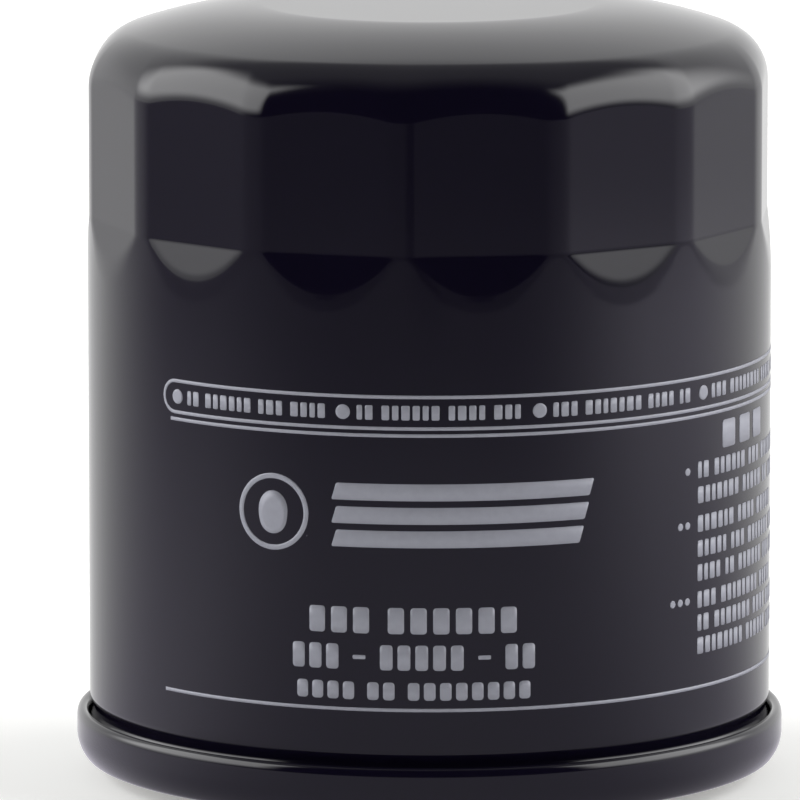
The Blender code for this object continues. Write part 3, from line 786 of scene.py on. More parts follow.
# ---- the print on the can ----------------------------------------------------------------------
@dataclass
class FrontPrint:
    """Screen printing on the can's wall, in a flat layout that is wrapped round it.

    A layout point is the distance round the wall, to the right of the front, and the height. The
    design is generic: rules, dots, bars in place of words, a ring with a drop, and speed stripes.
    """

    radius: float = 37.0
    proud: float = 0.03
    film: float = 0.05
    step: float = 0.8
    left: float = -31.9
    right: float = 93.0
    rule: float = 0.36
    block: float = 0.72
    group_gap: float = 0.55

    def wrapped(self, name: str, patches: Sequence[Grid], finish: Finish) -> Piece:
        """Wraps patches round the can and makes one piece of them.

        Args:
            name: Name of the piece.
            patches: Grids of layout points.
            finish: The ink.

        Returns:
            The piece, each patch a closed film of ink.
        """
        parts = []
        for patch in patches:
            across, up = patch[1:, 1:] - patch[:-1, :-1], patch[1:, :-1] - patch[:-1, 1:]
            area = (across[..., 0] * up[..., 1] - across[..., 1] * up[..., 0]).sum()
            flat = patch if area > 0 else patch[::-1]
            angle = FRONT + flat[..., 0] / self.radius
            points = revolved(self.radius + self.proud, flat[..., 1], angle)
            parts.append((points, grid_quads(*flat.shape[:2], False, False)))
        piece = welded(name, parts)
        film = piece.modifiers.new("film", "SOLIDIFY")
        film.thickness = self.film * MM
        film.offset = -1.0
        return dress(piece, finish, "black_enamel_can", "housing")

    def bar(
        self, left: float, right: float, low: float, high: float, corner: float = 0.25, slant: float = 0.0
    ) -> Grid:
        """A bar with rounded corners.

        Each column runs from bottom to top. Within a corner's radius of an end the column is
        shortened as the corner's circle is, and a slant moves it aside in step with the height.

        Args:
            left: Left end.
            right: Right end.
            low: Bottom edge.
            high: Top edge.
            corner: Radius of the corners.
            slant: Sideways shift for each millimetre of height.

        Returns:
            The patch, rows by columns by two.
        """
        corner = min(corner, (high - low) / 2, (right - left) / 2)
        ends = corner * (1 - np.cos(np.linspace(0, math.pi / 2, 5)))
        body = np.linspace(left + corner, right - corner, max(2, int((right - left) / self.step) + 1))
        along = np.concatenate([left + ends, body[1:-1], (right - ends)[::-1]])
        depth = np.clip(corner - np.minimum(along - left, right - along), 0, corner)
        cut = corner - np.sqrt(np.maximum(corner**2 - depth**2, 0))
        share = np.linspace(-1, 1, 3)[:, None]
        up = (low + high) / 2 + share * ((high - low) / 2 - cut)[None, :]
        return np.stack([along[None, :] + slant * (up - (low + high) / 2), up], axis=-1)

    def ring(self, centre: tuple[float, float], outer: float | Grid, inner: float = 0.0) -> Grid:
        """A ring or disc: two outlines about a centre, the inner one a circle or the centre.

        Args:
            centre: Layout point of the centre.
            outer: Radius of the outer edge, or one radius for each of 49 directions.
            inner: Radius of the inner edge.

        Returns:
            The patch.
        """
        turn = np.linspace(0, TAU, 49)
        share = np.linspace(0, 1, 4)[:, None]
        radius = inner + (np.broadcast_to(outer, turn.shape) - inner) * share
        return np.stack([centre[0] + radius * np.sin(turn), centre[1] + radius * np.cos(turn)], axis=-1)

    def stroke(self, path: Grid, width: float) -> Grid:
        """A line of ink: a path moved by half the width to each side along its normal."""
        along = np.gradient(path, axis=0)
        along /= np.linalg.norm(along, axis=1)[:, None]
        normal = np.stack([-along[:, 1], along[:, 0]], axis=1) * width / 2
        return np.stack([path - normal, path + normal])

    def level(self, left: float, right: float, height: float) -> Grid:
        """A level line with points closer together than a step."""
        along = np.linspace(left, right, int(abs(right - left) / self.step) + 2)
        return np.stack([along, np.full_like(along, height)], axis=1)

    def words(self, left: float, right: float, middle: float, size: float, first: int = 0) -> list[Grid]:
        """A line of small upright blocks in groups, in place of words.

        The number of blocks in each group, from two to eight, follows the golden ratio's
        multiples, and so does the width of each block.

        Args:
            left: Left end of the line.
            right: Right end of the line.
            middle: Height of its middle.
            size: Height of the blocks.
            first: Place in the run of lengths, so that lines differ.

        Returns:
            The patches.
        """
        patches, at, number = [], left, first
        while True:
            for block in range(2 + int(7 * ((number * GOLDEN) % 1.0))):
                width = size * (0.36 + 0.22 * ((block + number) * GOLDEN % 1.0))
                if at + width > right:
                    return patches
                patches.append(self.bar(at, at + width, middle - size / 2, middle + size / 2, size * 0.1))
                at += width + size * 0.2
            at, number = at + size * 0.42, number + 1

    def blocks(self, groups: Sequence[int], left: float, right: float, low: float, high: float) -> list[Grid]:
        """Groups of equal blocks in place of capitals; a group of 0 is a dash.

        Args:
            groups: Number of blocks in each group.
            left: Left end.
            right: Right end.
            low: Bottom edge.
            high: Top edge.

        Returns:
            The patches.
        """
        total = sum(max(group, 1) for group in groups) + self.group_gap * (len(groups) - 1)
        pitch = (right - left) / (total - 1 + self.block)
        patches, at = [], left
        for group in groups:
            for _ in range(group):
                patches.append(self.bar(at, at + pitch * self.block, low, high, 0.35))
                at += pitch
            if group == 0:
                middle = (low + high) / 2
                patches.append(self.bar(at, at + pitch * self.block, middle - 0.22, middle + 0.22, 0.1))
                at += pitch
            at += pitch * self.group_gap
        return patches

    def band(self, finish: Finish) -> Piece:
        """The band of notes between two rules, its rounded end, and the rules below."""
        high, low, under, foot = 46.65, 43.3, 42.55, 13.25
        corner = (high - low) / 2
        turn = np.linspace(0, math.pi, 13)[:, None]
        centre = np.array([[self.left + corner, low + corner]])
        cap = centre + corner * np.concatenate([-np.sin(turn), np.cos(turn)], axis=1)
        upper = self.level(self.right, self.left + corner, high)[:-1]
        lower = self.level(self.left + corner, self.right, low)[1:]
        patches = [
            self.stroke(np.concatenate([upper, cap, lower]), self.rule),
            self.stroke(self.level(self.left + 1.0, self.right, under), self.rule),
            self.stroke(self.level(self.left, self.right, foot), self.rule),
        ]
        dots = [-29.8, -9.2, 11.8, 33.5, 55.0, 76.5]
        for number, (dot, stop) in enumerate(zip(dots, dots[1:] + [self.right])):
            patches.append(self.ring((dot, low + corner), 0.78))
            patches += self.words(dot + 1.5, stop - 1.4, low + corner, 1.55, number * 5)
        return self.wrapped("print_band", patches, finish)

    def emblem(self, finish: Finish) -> Piece:
        """A ring with an oil drop in it, beside three speed stripes.

        The drop's radius falls from its round foot to its tip as a power of the half-angle's
        cosine.
        """
        turn = np.linspace(0, TAU, 49)
        drop = 1.55 + 1.5 * np.abs(np.cos(turn / 2)) ** 9
        patches = [self.ring((-17.1, 33.9), 4.1, 3.55), self.ring((-17.1, 33.1), drop)]
        for low, right in ((30.6, 16.6), (33.1, 17.2), (35.6, 17.8)):
            patches.append(self.bar(-10.2, right, low, low + 1.8, 0.2, 0.3))
        return self.wrapped("print_emblem", patches, finish)

    def lines(self, finish: Finish) -> Piece:
        """Three rows of blocks under the emblem."""
        patches = self.blocks((3, 6), -12.9, 9.3, 21.4, 24.2)
        patches += self.blocks((3, 0, 5, 0, 2), -14.8, 11.3, 17.5, 20.2)
        patches += self.blocks((4, 2, 8), -14.3, 10.8, 14.3, 16.2)
        return self.wrapped("print_lines", patches, finish)

    def steps(self, finish: Finish) -> Piece:
        """Fitting notes at the side: each step is counted by dots and told by bars."""
        patches = self.blocks((3,), 37.2, 47.8, 38.5, 41.5)
        number = 0
        for count, rows in ((1, (36.7, 34.0)), (2, (30.9, 28.2, 25.6)), (3, (22.7, 20.2, 17.7))):
            for dot in range(count):
                patches.append(self.ring((30.9 - 1.15 * dot, rows[0]), 0.4))
            for row in rows:
                patches += self.words(32.6, 60.0 - 3.0 * (number % 3), row, 1.8, number * 3)
                number += 1
        return self.wrapped("print_steps", patches, finish)

    def fitting_marks(self, finish: Finish) -> Piece:
        """At the side, a picture of the turn to tighten: an open ring with an arrowhead."""
        turn = np.linspace(math.radians(-150), math.radians(120), 40)[:, None]
        centre, radius, tip_turn = np.array([76.0, 30.0]), 6.0, 2.55
        arc = centre + radius * np.concatenate([np.sin(turn), np.cos(turn)], axis=1)
        tip = centre + radius * np.array([math.sin(tip_turn), math.cos(tip_turn)])
        foot = arc[-1]
        side = (foot - centre) / radius
        across = np.linspace(-1, 1, 5)[None, :, None] * side * 1.6
        share = np.linspace(0, 1, 4)[:, None, None]
        head = (foot + across) * (1 - share) + tip * share
        patches = [self.stroke(arc, 0.9), head, self.ring(tuple(centre), 3.0, 2.3)]
        patches += self.words(66.0, 86.0, 19.5, 1.8, 2) + self.words(69.0, 83.0, 16.9, 1.8, 7)
        return self.wrapped("print_turn", patches, finish)

    def build(self, finish: Finish) -> None:
        """Prints every part of the design."""
        for part in (self.band, self.emblem, self.lines, self.steps, self.fitting_marks):
            part(finish)


# ---- the seamed end ----------------------------------------------------------------------------
@dataclass
class SeamedCover:
    """The cover plate: gasket channel, stiffening rib, chuck wall and the curl of the seam.

    The curl's crest is half a superellipse, taller than it is wide and fuller than an ellipse.
    """

    seam: DoubleSeam
    lip_radius: float = 26.51
    channel_radius: float = 32.19
    ceiling: float = 6.31
    crest: float = 7.2
    crest_rise: float = 1.05
    crest_power: float = 0.8

    def build(self, finish: Finish) -> Piece:
        """Builds the cover from its middle line."""
        half = self.seam.sheet / 2
        out = self.seam.cover_offset
        chuck = self.seam.middle_radius - out
        crest = self.seam.middle_radius + out
        inner = rounded(
            [
                (self.lip_radius, 3.2, 0),
                (self.lip_radius, self.ceiling, 0.45),
                (self.channel_radius, self.ceiling, 0.45),
                (self.channel_radius, 3.0, 0.4),
                (self.channel_radius + 0.4, 2.5, 0.4),
                (self.channel_radius + 1.2, 2.5, 0.4),
                (self.channel_radius + 1.6, 3.0, 0.4),
                (self.channel_radius + 1.7, self.ceiling, 0.45),
                (chuck, self.ceiling, 0.6),
                (chuck, self.seam.bend_high + 0.1, 0),
            ],
            closed=False,
        )
        down = self.seam.line(-out, self.ceiling)[1:]
        up = self.seam.line(out, self.seam.bend_high + 0.4)[::-1]
        turn = np.linspace(0, math.pi, 19)
        flat = np.cos(turn)
        height = self.crest - half - self.crest_rise
        across = out / 2 * np.sign(flat) * np.abs(flat) ** self.crest_power
        rise = self.crest_rise * np.abs(np.sin(turn)) ** self.crest_power
        curl = np.stack([(crest + self.seam.middle_radius) / 2 + across, height + rise], axis=1)
        curl = np.concatenate([curl, [[self.seam.middle_radius, 4.8]]])
        midline = np.concatenate([inner, down, self.seam.fold(out, 16), up, curl])
        piece = turned("seamed_cover", sheet(midline, self.seam.sheet), 288)
        return dress(piece, finish, "black_enamel_cover", "housing", "cover_plate")

    def build_compound(self, finish: Finish) -> Piece:
        """Builds the bead of sealing compound in the fold, below the end of the cover's hook."""
        inner = self.seam.line(-0.16, self.seam.bend_high)[5:]
        outer = self.seam.line(0.16, self.seam.bend_high)[5:]
        piece = turned("seam_bead", np.concatenate([outer, inner[::-1]]), 96)
        return dress(piece, finish, "seam_compound", "housing", "seam_compound")


def punched(boundary: Grid, inside: Grid, hole: Grid, inside_hole: Grid, rings: int = 4) -> Grid:
    """Surface of a plate round one hole: over the face, through the hole and back underneath.

    Each ring of points is a straight mix of a face's boundary and the edge of the hole in it.

    Args:
        boundary: Closed boundary of the outer face, one row of points.
        inside: The same boundary on the inner face.
        hole: Rows of points round the hole, from the outer face's edge through the wall.
        inside_hole: Last row round the hole, on the inner face.
        rings: Number of steps across each face.

    Returns:
        Rows of points; the first and last row are the two boundaries.
    """
    share = np.linspace(0, 1, rings + 1)[:-1, None, None]
    outer_face = boundary * (1 - share) + hole[0] * share
    inner_face = inside_hole * share[::-1] + inside * (1 - share[::-1])
    return np.concatenate([outer_face, hole, inside_hole[None], inner_face])


def box_outline(per_side: int) -> Grid:
    """Points round a unit square's edge from its lower left corner, one coordinate pair each."""
    run = np.arange(per_side) / per_side * 2 - 1
    one = np.ones(per_side)
    across = np.concatenate([run, one, -run, -one])
    up = np.concatenate([-one, run, one, -run])
    return np.stack([across, up], axis=1)


@dataclass
class BasePlate:
    """The thick threaded plate: eight inlet holes round a hub with an M20 x 1.5 thread."""

    inlets: int = 8
    inlet_radius: float = 3.5
    inlet_circle: float = 20.0
    edge_radius: float = 35.6
    hub_radius: float = 13.2
    minor_radius: float = 9.19
    major_radius: float = 10.0
    pitch: float = 1.5
    edge_round: float = 0.3
    thickness: float = 3.0
    hub_foot: float = 1.0
    mouth: float = 0.6
    thread_low: float = 1.5
    thread_high: float = 1.1
    thread_fade: float = 0.7
    flank: float = 1.65
    per_side: int = 14

    def thread(self, height: Grid, angle: Grid, low: float, high: float) -> Grid:
        """Radius of the bore: a trapezium wave along the helix, faded out at both ends.

        The wave's place is the height over the pitch minus the share of a turn, its flanks are
        straight, and its crests and roots are cut flat.

        Args:
            height: Heights of the points.
            angle: Directions of the points.
            low: Where the thread starts.
            high: Where it ends.

        Returns:
            The radius at each point.
        """
        phase = (height / self.pitch - angle / TAU) % 1.0
        wave = np.clip(self.flank * (1 - 2 * np.abs(2 * phase - 1)) * 0.5 + 0.5, 0, 1)
        fade = np.clip(np.minimum(height - low, high - height) / self.thread_fade, 0, 1)
        return self.minor_radius + (self.major_radius - self.minor_radius) * wave * fade

    def build(self, finish: Finish) -> Piece:
        """Builds the plate: one cell for each inlet, the rim, and the hub with its thread."""
        low, high = heights("base_plate")
        top = low + self.thickness
        half = math.pi / self.inlets
        square = box_outline(self.per_side)
        turn = square[:, 0] * half
        outer_r = self.edge_radius - self.edge_round
        foot_r = self.hub_radius + self.hub_foot
        mouth_r = self.major_radius + self.mouth
        rim = (square[:, 1] + 1) / 2
        above = revolved(foot_r + (outer_r - foot_r) * rim, np.full_like(rim, top), turn)
        below = revolved(mouth_r + (outer_r - mouth_r) * rim, np.full_like(rim, low), turn)
        centre = np.array([self.inlet_circle, 0.0])
        facing = above[:, :2] - centre
        facing /= np.linalg.norm(facing, axis=1)[:, None]
        lean = np.linspace(0, math.pi / 2, 5)
        lip = self.inlet_radius + self.edge_round * (1 - np.sin(lean))
        drop = self.edge_round * (1 - np.cos(lean))
        radii = np.concatenate([lip, lip[::-1]])
        levels = np.concatenate([top - drop, (low + drop)[::-1]])
        hole = np.concatenate(
            [
                centre + facing[None] * radii[:, None, None],
                np.broadcast_to(levels[:, None, None], (len(levels), len(facing), 1)),
            ],
            axis=2,
        )
        cell = punched(above, below, hole[:-1], hole[-1])
        quads = grid_quads(*cell.shape[:2], False, True)
        parts = []
        for number in range(self.inlets):
            about = TAU * number / self.inlets
            spin = np.array(
                [[math.cos(about), math.sin(about), 0], [-math.sin(about), math.cos(about), 0], [0, 0, 1]]
            )
            parts.append((cell @ spin, quads))
        angles = -half + np.arange(self.inlets * self.per_side) * TAU / (self.inlets * self.per_side)
        lean = np.linspace(0, math.pi / 2, 5)[:, None]
        bevel = np.concatenate(
            [outer_r + self.edge_round * np.sin(lean), top - self.edge_round * (1 - np.cos(lean))], axis=1
        )
        under = np.stack([bevel[::-1, 0], low + top - bevel[::-1, 1]], axis=1)
        rim_line = np.concatenate([bevel, under])
        edge = revolved(rim_line[:, :1], rim_line[:, 1:], angles[None])
        parts.append((edge, grid_quads(*edge.shape[:2], False, True)))
        outside = rounded(
            [
                (foot_r, top, 0),
                (self.hub_radius, top, 0.8),
                (self.hub_radius, high, 0.4),
                (self.major_radius + 0.3, high, 0.1),
                (self.minor_radius, high - self.thread_high + 0.1, 0),
            ],
            closed=False,
        )
        start, end = low + self.thread_low, high - self.thread_high
        bore = np.linspace(end, start, 90)
        mouth = np.array([[self.minor_radius, start - 0.15], [mouth_r, low]])
        line = np.concatenate([outside, np.stack([np.full_like(bore, self.minor_radius), bore], 1), mouth])
        hub = revolved(line[:, :1], line[:, 1:], angles[None])
        rows = slice(len(outside), len(outside) + len(bore))
        levels = np.broadcast_to(bore[:, None], (len(bore), len(angles)))
        cut = self.thread(levels, angles[None], start, end)
        hub[rows] = revolved(cut, levels, angles[None])
        parts.append((hub, grid_quads(*hub.shape[:2], False, True)))
        piece = welded("threaded_plate", parts)
        return dress(piece, finish, "zinc_plated_plate", "housing", "base_plate")


@dataclass
class Gasket:
    """The square-cut sealing ring in the cover's channel."""

    inner: float = 27.0
    outer: float = 31.7

    def build(self, finish: Finish) -> Piece:
        """Builds the ring, with its sealing edges rounded and a fine groove round its outside."""
        low, high = heights("gasket")
        middle = (self.inner + self.outer) / 2
        outline = rounded(
            [
                (self.outer, high, 0.3),
                (self.outer, low + 2.2, 0.1),
                (self.outer - 0.15, low + 2.0, 0.1),
                (self.outer, low + 1.8, 0.1),
                (self.outer, low, 0.55),
                (middle + 0.5, low, 0.1),
                (middle, low + 0.12, 0.2),
                (middle - 0.5, low, 0.1),
                (self.inner, low, 0.55),
                (self.inner, high, 0.3),
            ]
        )
        return dress(turned("sealing_ring", outline, 192), finish, "gasket_rubber", "housing", "gasket")


@dataclass
class AntidrainValve:
    """The rubber valve: a bead on the hub and a thin skirt that rests round the inlets."""

    lift: float = 1.2

    def build(self, finish: Finish) -> Piece:
        """Builds the valve."""
        low, high = heights("antidrain_valve")
        outline = rounded(
            [
                (15.4, high, 0.4),
                (15.5, 16.4, 1.0),
                (21.0, 13.8, 4.0),
                (26.6, 11.2, 1.2),
                (27.6, 10.8, 0.3),
                (27.6, low, 0.25),
                (26.6, low, 0.25),
                (20.4, 12.8, 4.0),
                (14.8, 15.2, 0.8),
                (13.5, 14.3, 0.3),
                (13.5, 18.3, 0.3),
                (11.7, 18.3, 0.3),
                (11.7, high, 0.4),
            ],
            spans=6,
        )
        piece = turned("drain_flap", outline, 144)
        dress(piece, finish, "valve_rubber", "housing", "antidrain_valve")
        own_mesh(piece)
        return piece


# ---- the filter element ------------------------------------------------------------------------
def punched_wall(
    radii: tuple[float, float],
    levels: tuple[float, float],
    counts: tuple[int, int],
    hole: Callable[[Grid], Grid],
    per_side: int,
) -> list[tuple[Grid, np.ndarray]]:
    """A drawn or rolled wall with rows of holes, as surfaces that weld together.

    The wall is worked out flat, as distance round the axis and height, one cell for each hole,
    and then wrapped. Every second row is turned by half a cell.

    Args:
        radii: Outer and inner radius.
        levels: Lowest and highest point.
        counts: Rows of holes and holes in each row.
        hole: Distance of the hole's edge from its centre, as a function of direction.
        per_side: Steps along each side of a cell.

    Returns:
        Points and quads of each cell; the top and bottom edges are left open.
    """
    outer, inner = radii
    rows, around = counts
    height = (levels[1] - levels[0]) / rows
    square = box_outline(per_side)
    flat = square * np.array([math.pi * outer / around, height / 2])
    reach = hole(np.arctan2(flat[:, 1], flat[:, 0]))
    rim = flat / np.linalg.norm(flat, axis=1)[:, None] * reach[:, None]
    parts = []
    for row in range(rows):
        for place in range(around):
            about = TAU * (place + 0.5 * (row % 2)) / around
            middle = levels[0] + height * (row + 0.5)
            faces = [
                revolved(radius, middle + line[:, 1], about + line[:, 0] / outer)
                for radius, line in ((outer, flat), (inner, flat), (outer, rim), (inner, rim))
            ]
            cell = punched(faces[0], faces[1], faces[2][None], faces[3], 3)
            parts.append((cell, grid_quads(*cell.shape[:2], False, True)))
    return parts


@dataclass
class FilterElement:
    """The pleated element: two end caps, glue, paper and the perforated core."""

    sheet: float = SHEET
    cap_radius: float = 31.5
    bore_radius: float = 11.0
    port_radius: float = 6.6
    cage_radius: float = 11.6
    tube_outer: float = 13.3
    tube_inner: float = 12.6
    pleats: int = 42
    pleat_outer: float = 30.0
    pleat_inner: float = 14.6
    tip_outer: float = 0.55
    tip_inner: float = 0.5
    paper: float = 0.6

    def caps(self, finish: Finish) -> None:
        """Builds both end caps; the upper one carries the dished seat of the relief port."""
        half = self.sheet / 2
        rim = self.cap_radius - half
        low = heights("lower_end_cap")[0] + half
        bore = self.bore_radius + half
        line = rounded(
            [(rim, low + 3.0, 0), (rim, low, 0.6), (24.0, low, 0.4), (23.4, low + 0.35, 0.4),
             (16.2, low + 0.35, 0.4), (15.6, low, 0.4), (bore, low, 0.6), (bore, low + 2.6, 0)],
            closed=False,
        )
        piece = turned("cap_low", sheet(line, self.sheet))
        dress(piece, finish, "tinned_cap_lower", "element", "lower_end_cap")
        top = heights("upper_end_cap")[1] - half
        dish, port = top - 1.6, self.port_radius + half
        line = rounded(
            [(port, dish - 0.9, 0), (port, dish, 0.4), (self.cage_radius, dish, 0.5),
             (self.cage_radius + 1.0, top, 0.5), (17.4, top, 0.4), (18.0, top - 0.35, 0.4),
             (24.4, top - 0.35, 0.4), (25.0, top, 0.4), (rim, top, 0.6), (rim, top - 3.0, 0)],
            closed=False,
        )
        piece = turned("cap_high", sheet(line, self.sheet))
        dress(piece, finish, "tinned_cap_upper", "element", "upper_end_cap")

    def glue(self, finish: Finish) -> None:
        """Builds the glue on each cap, drawn up a little between the pleats."""
        for node, slot in (("lower_potting", "potting_lower"), ("upper_potting", "potting_upper")):
            low, high = heights(node)
            inner, outer = self.tube_outer + 0.3, self.cap_radius - self.sheet - 0.3
            outline = rounded([(outer, high, 0.2), (outer, low, 0.2), (inner, low, 0.2), (inner, high, 0.2)])
            angle = np.arange(self.pleats * 8)[None, :] * TAU / (self.pleats * 8)
            height = outline[:, 1:] + 0 * angle
            wave = 0.12 * (1 - np.cos(angle * self.pleats)) / 2
            if node == "lower_potting":
                height = np.where(height > low + 0.5, height - wave, height)
            else:
                height = np.where(height < low + 0.5, height + wave, height)
            piece = skin(f"{node}_ring", revolved(outline[:, :1] + 0 * angle, height, angle))
            dress(piece, finish, slot, "element", node)

    def media(self, finish: Finish) -> None:
        """Builds the pleated paper: a rounded zigzag in plan, with a faint embossed ripple."""
        low, high = heights("pleated_media")
        pitch = TAU / self.pleats
        corners = []
        for number in range(self.pleats):
            for radius, middle, tip in (
                (self.pleat_outer, pitch * number, self.tip_outer),
                (self.pleat_inner, pitch * (number + 0.5), self.tip_inner),
            ):
                for angle in (middle - tip / radius, middle + tip / radius):
                    corners.append((radius * math.cos(angle), radius * math.sin(angle), 0.8 * tip))
        plan = rounded(corners, spans=4)
        along = np.roll(plan, -1, axis=0) - np.roll(plan, 1, axis=0)
        along /= np.linalg.norm(along, axis=1)[:, None]
        normal = np.stack([along[:, 1], -along[:, 0]], axis=1) * self.paper / 2
        levels = np.linspace(low, high, 25)
        ripple = 1 + 0.1 * np.sin((levels - low) / 1.8 * math.pi)[:, None, None]
        outer = plan[None] + normal[None] * ripple
        inner = plan[None] - normal[None] * ripple
        sides = [
            np.concatenate([face, np.broadcast_to(z[:, None, None], (len(z), len(plan), 1))], axis=2)
            for face, z in ((outer, levels), (inner[::-1], levels[::-1]))
        ]
        dress(skin("pleat_pack", np.concatenate(sides)), finish, "filter_paper", "element", "pleated_media")

    def core(self, finish: Finish) -> None:
        """Builds the perforated centre tube, with holes punched through its rolled wall."""
        low, high = heights("centre_tube")
        per_side, around = 8, 6
        parts = punched_wall(
            (self.tube_outer, self.tube_inner), (low, high), (5, around),
            lambda direction: np.full_like(direction, 2.4), per_side,
        )
        steps = around * per_side
        angles = (np.arange(steps) + 0.5 * (per_side % 2)) * TAU / steps
        for level in (low, high):
            ends = np.array([[self.tube_outer, level], [self.tube_inner, level]])
            edge = revolved(ends[:, :1], ends[:, 1:], angles[None])
            parts.append((edge, grid_quads(2, steps, False, True)))
        dress(welded("core_tube", parts), finish, "tube_steel", "element", "centre_tube")

    def build(self, steel: Finish, glue: Finish, paper: Finish) -> None:
        """Builds the whole element, and gives the clip on the pleats its finish."""
        self.caps(steel)
        self.glue(glue)
        self.media(paper)
        self.core(steel)
        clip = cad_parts["media_clip"]
        clip.data.materials.clear()
        clip.data.materials.append(steel.material())


@dataclass
class ReliefValve:
    """The bypass valve under the upper cap: cage, poppet, guide, seal and spring."""

    sheet: float = SHEET
    cage_radius: float = 11.6
    port_radius: float = 6.6
    poppet_radius: float = 8.8
    guide_radius: float = 3.0
    stem_radius: float = 1.6
    coil_radius: float = 5.4
    wire: float = 0.9
    travel: float = 3.0

    def cage(self, finish: Finish) -> None:
        """Builds the cage: a flange, a wall with four windows and a floor with the stem's hole."""
        low, high = heights("relief_cage")
        inner = self.cage_radius - 1.9 - self.sheet / 2
        outer = inner + self.sheet
        wall_low, wall_high = low + 1.2, high - 1.2
        size = (4.2, (wall_high - wall_low) / 2 - 0.5)
        per_side, around = 10, 4
        parts = punched_wall(
            (outer, inner), (wall_low, wall_high), (1, around),
            lambda turn: (np.abs(np.cos(turn) / size[0]) ** 5 + np.abs(np.sin(turn) / size[1]) ** 5) ** -0.2,
            per_side,
        )
        steps = around * per_side
        angles = np.arange(steps) * TAU / steps
        hole = self.stem_radius + 0.4
        floor = rounded(
            [(outer, wall_low, 0), (outer, low, 1.0), (hole, low, 0.1), (hole, low + self.sheet, 0.1),
             (inner, low + self.sheet, 0.6), (inner, wall_low, 0)],
            closed=False,
        )
        flange = rounded(
            [(inner, wall_high, 0), (inner, high, 0.9), (self.cage_radius, high, 0.15),
             (self.cage_radius, high - self.sheet, 0.15), (outer, high - self.sheet, 0.5),
             (outer, wall_high, 0)],
            closed=False,
        )
        for line in (floor, flange):
            strip = revolved(line[:, :1], line[:, 1:], angles[None])
            parts.append((strip, grid_quads(*strip.shape[:2], False, True)))
        dress(welded("valve_cage", parts), finish, "cage_steel", "element", "relief_cage")

    def poppet(self, finish: Finish) -> None:
        """Builds the poppet: a disc with a raised middle that enters the port."""
        low, high = heights("relief_poppet")
        seat = high - 0.8
        bore = self.guide_radius + 0.3
        outline = rounded(
            [(self.port_radius - 1.4, high, 0.3), (self.port_radius - 0.8, seat, 0.2),
             (self.poppet_radius, seat, 0.2), (self.poppet_radius, low, 0.2),
             (bore, low, 0.15), (bore, high, 0.15)]
        )
        dress(turned("poppet_disc", outline, 96), finish, "poppet_steel", "relief_valve", "relief_poppet")

    def guide(self, finish: Finish) -> None:
        """Builds the guide: a head over the poppet, and a stem with a collar for the spring."""
        low, high = heights("relief_guide")
        flange = heights("relief_poppet")[0] - 0.3
        outline = rounded(
            [(0, high, 0), (self.guide_radius + 1.0, high, 0.15), (self.guide_radius + 1.0, high - 0.3, 0.1),
             (self.guide_radius, high - 0.3, 0.05), (self.guide_radius, flange, 0.05),
             (self.coil_radius - 1.0, flange, 0.2), (self.coil_radius - 1.3, flange - 1.1, 0.2),
             (self.stem_radius, flange - 1.1, 0.2), (self.stem_radius, low, 0.3), (0, low, 0)],
            closed=False,
        )
        piece = turned("poppet_guide", outline, 48, loop=False)
        dress(piece, finish, "guide_nylon", "relief_valve", "relief_guide")

    def seal(self, finish: Finish) -> None:
        """Builds the flat rubber ring that closes the port."""
        low, high = heights("relief_seal")
        inner, outer = self.port_radius - 0.6, self.poppet_radius - 0.2
        outline = rounded([(outer, high, 0.25), (outer, low, 0.1), (inner, low, 0.1), (inner, high, 0.25)])
        dress(turned("poppet_seal", outline, 96), finish, "seal_rubber", "relief_valve", "relief_seal")

    def spring(self, finish: Finish) -> None:
        """Builds the spring."""
        low, high = heights("relief_spring")
        levels = (low + self.wire / 2, high - self.wire / 2)
        piece = wire("valve_coil", coil((self.coil_radius,) * 2, levels, 5, 0.6), self.wire)
        dress(piece, finish, "relief_spring_steel", "element", "relief_spring")
        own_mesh(piece)

    def build(self, steel: Finish, nylon: Finish, rubber: Finish, spring: Finish) -> None:
        """Builds every piece of the valve."""
        self.cage(steel)
        self.poppet(steel)
        self.guide(nylon)
        self.seal(rubber)
        self.spring(spring)


@dataclass
class HoldDown:
    """The conical spring over the element, and the cup that centres it in the crown."""

    wire: float = 1.8
    radii: tuple[float, float] = (14.5, 9.5)
    turns: float = 3.5
    sheet: float = SHEET
    travel: float = 1.5

    def build(self, steel: Finish, spring: Finish) -> None:
        """Builds the cup and the spring."""
        high = heights("spring_seat")[1] - self.sheet / 2
        line = rounded(
            [(5.0, high - 1.6, 0), (5.6, high - 1.6, 0.4), (6.6, high, 0.5),
             (self.radii[1] + 1.8, high, 0.4), (self.radii[1] + 2.0, high - 0.8, 0)],
            closed=False,
        )
        dress(turned("crown_cup", sheet(line, self.sheet), 96), steel, "seat_steel", "housing", "spring_seat")
        low, high = heights("hold_down_spring")
        levels = (low + self.wire / 2, high - self.wire / 2)
        piece = wire("crown_coil", coil(self.radii, levels, self.turns, 0.6), self.wire, 16)
        dress(piece, spring, "hold_down_spring_steel", "housing", "hold_down_spring")
        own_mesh(piece)


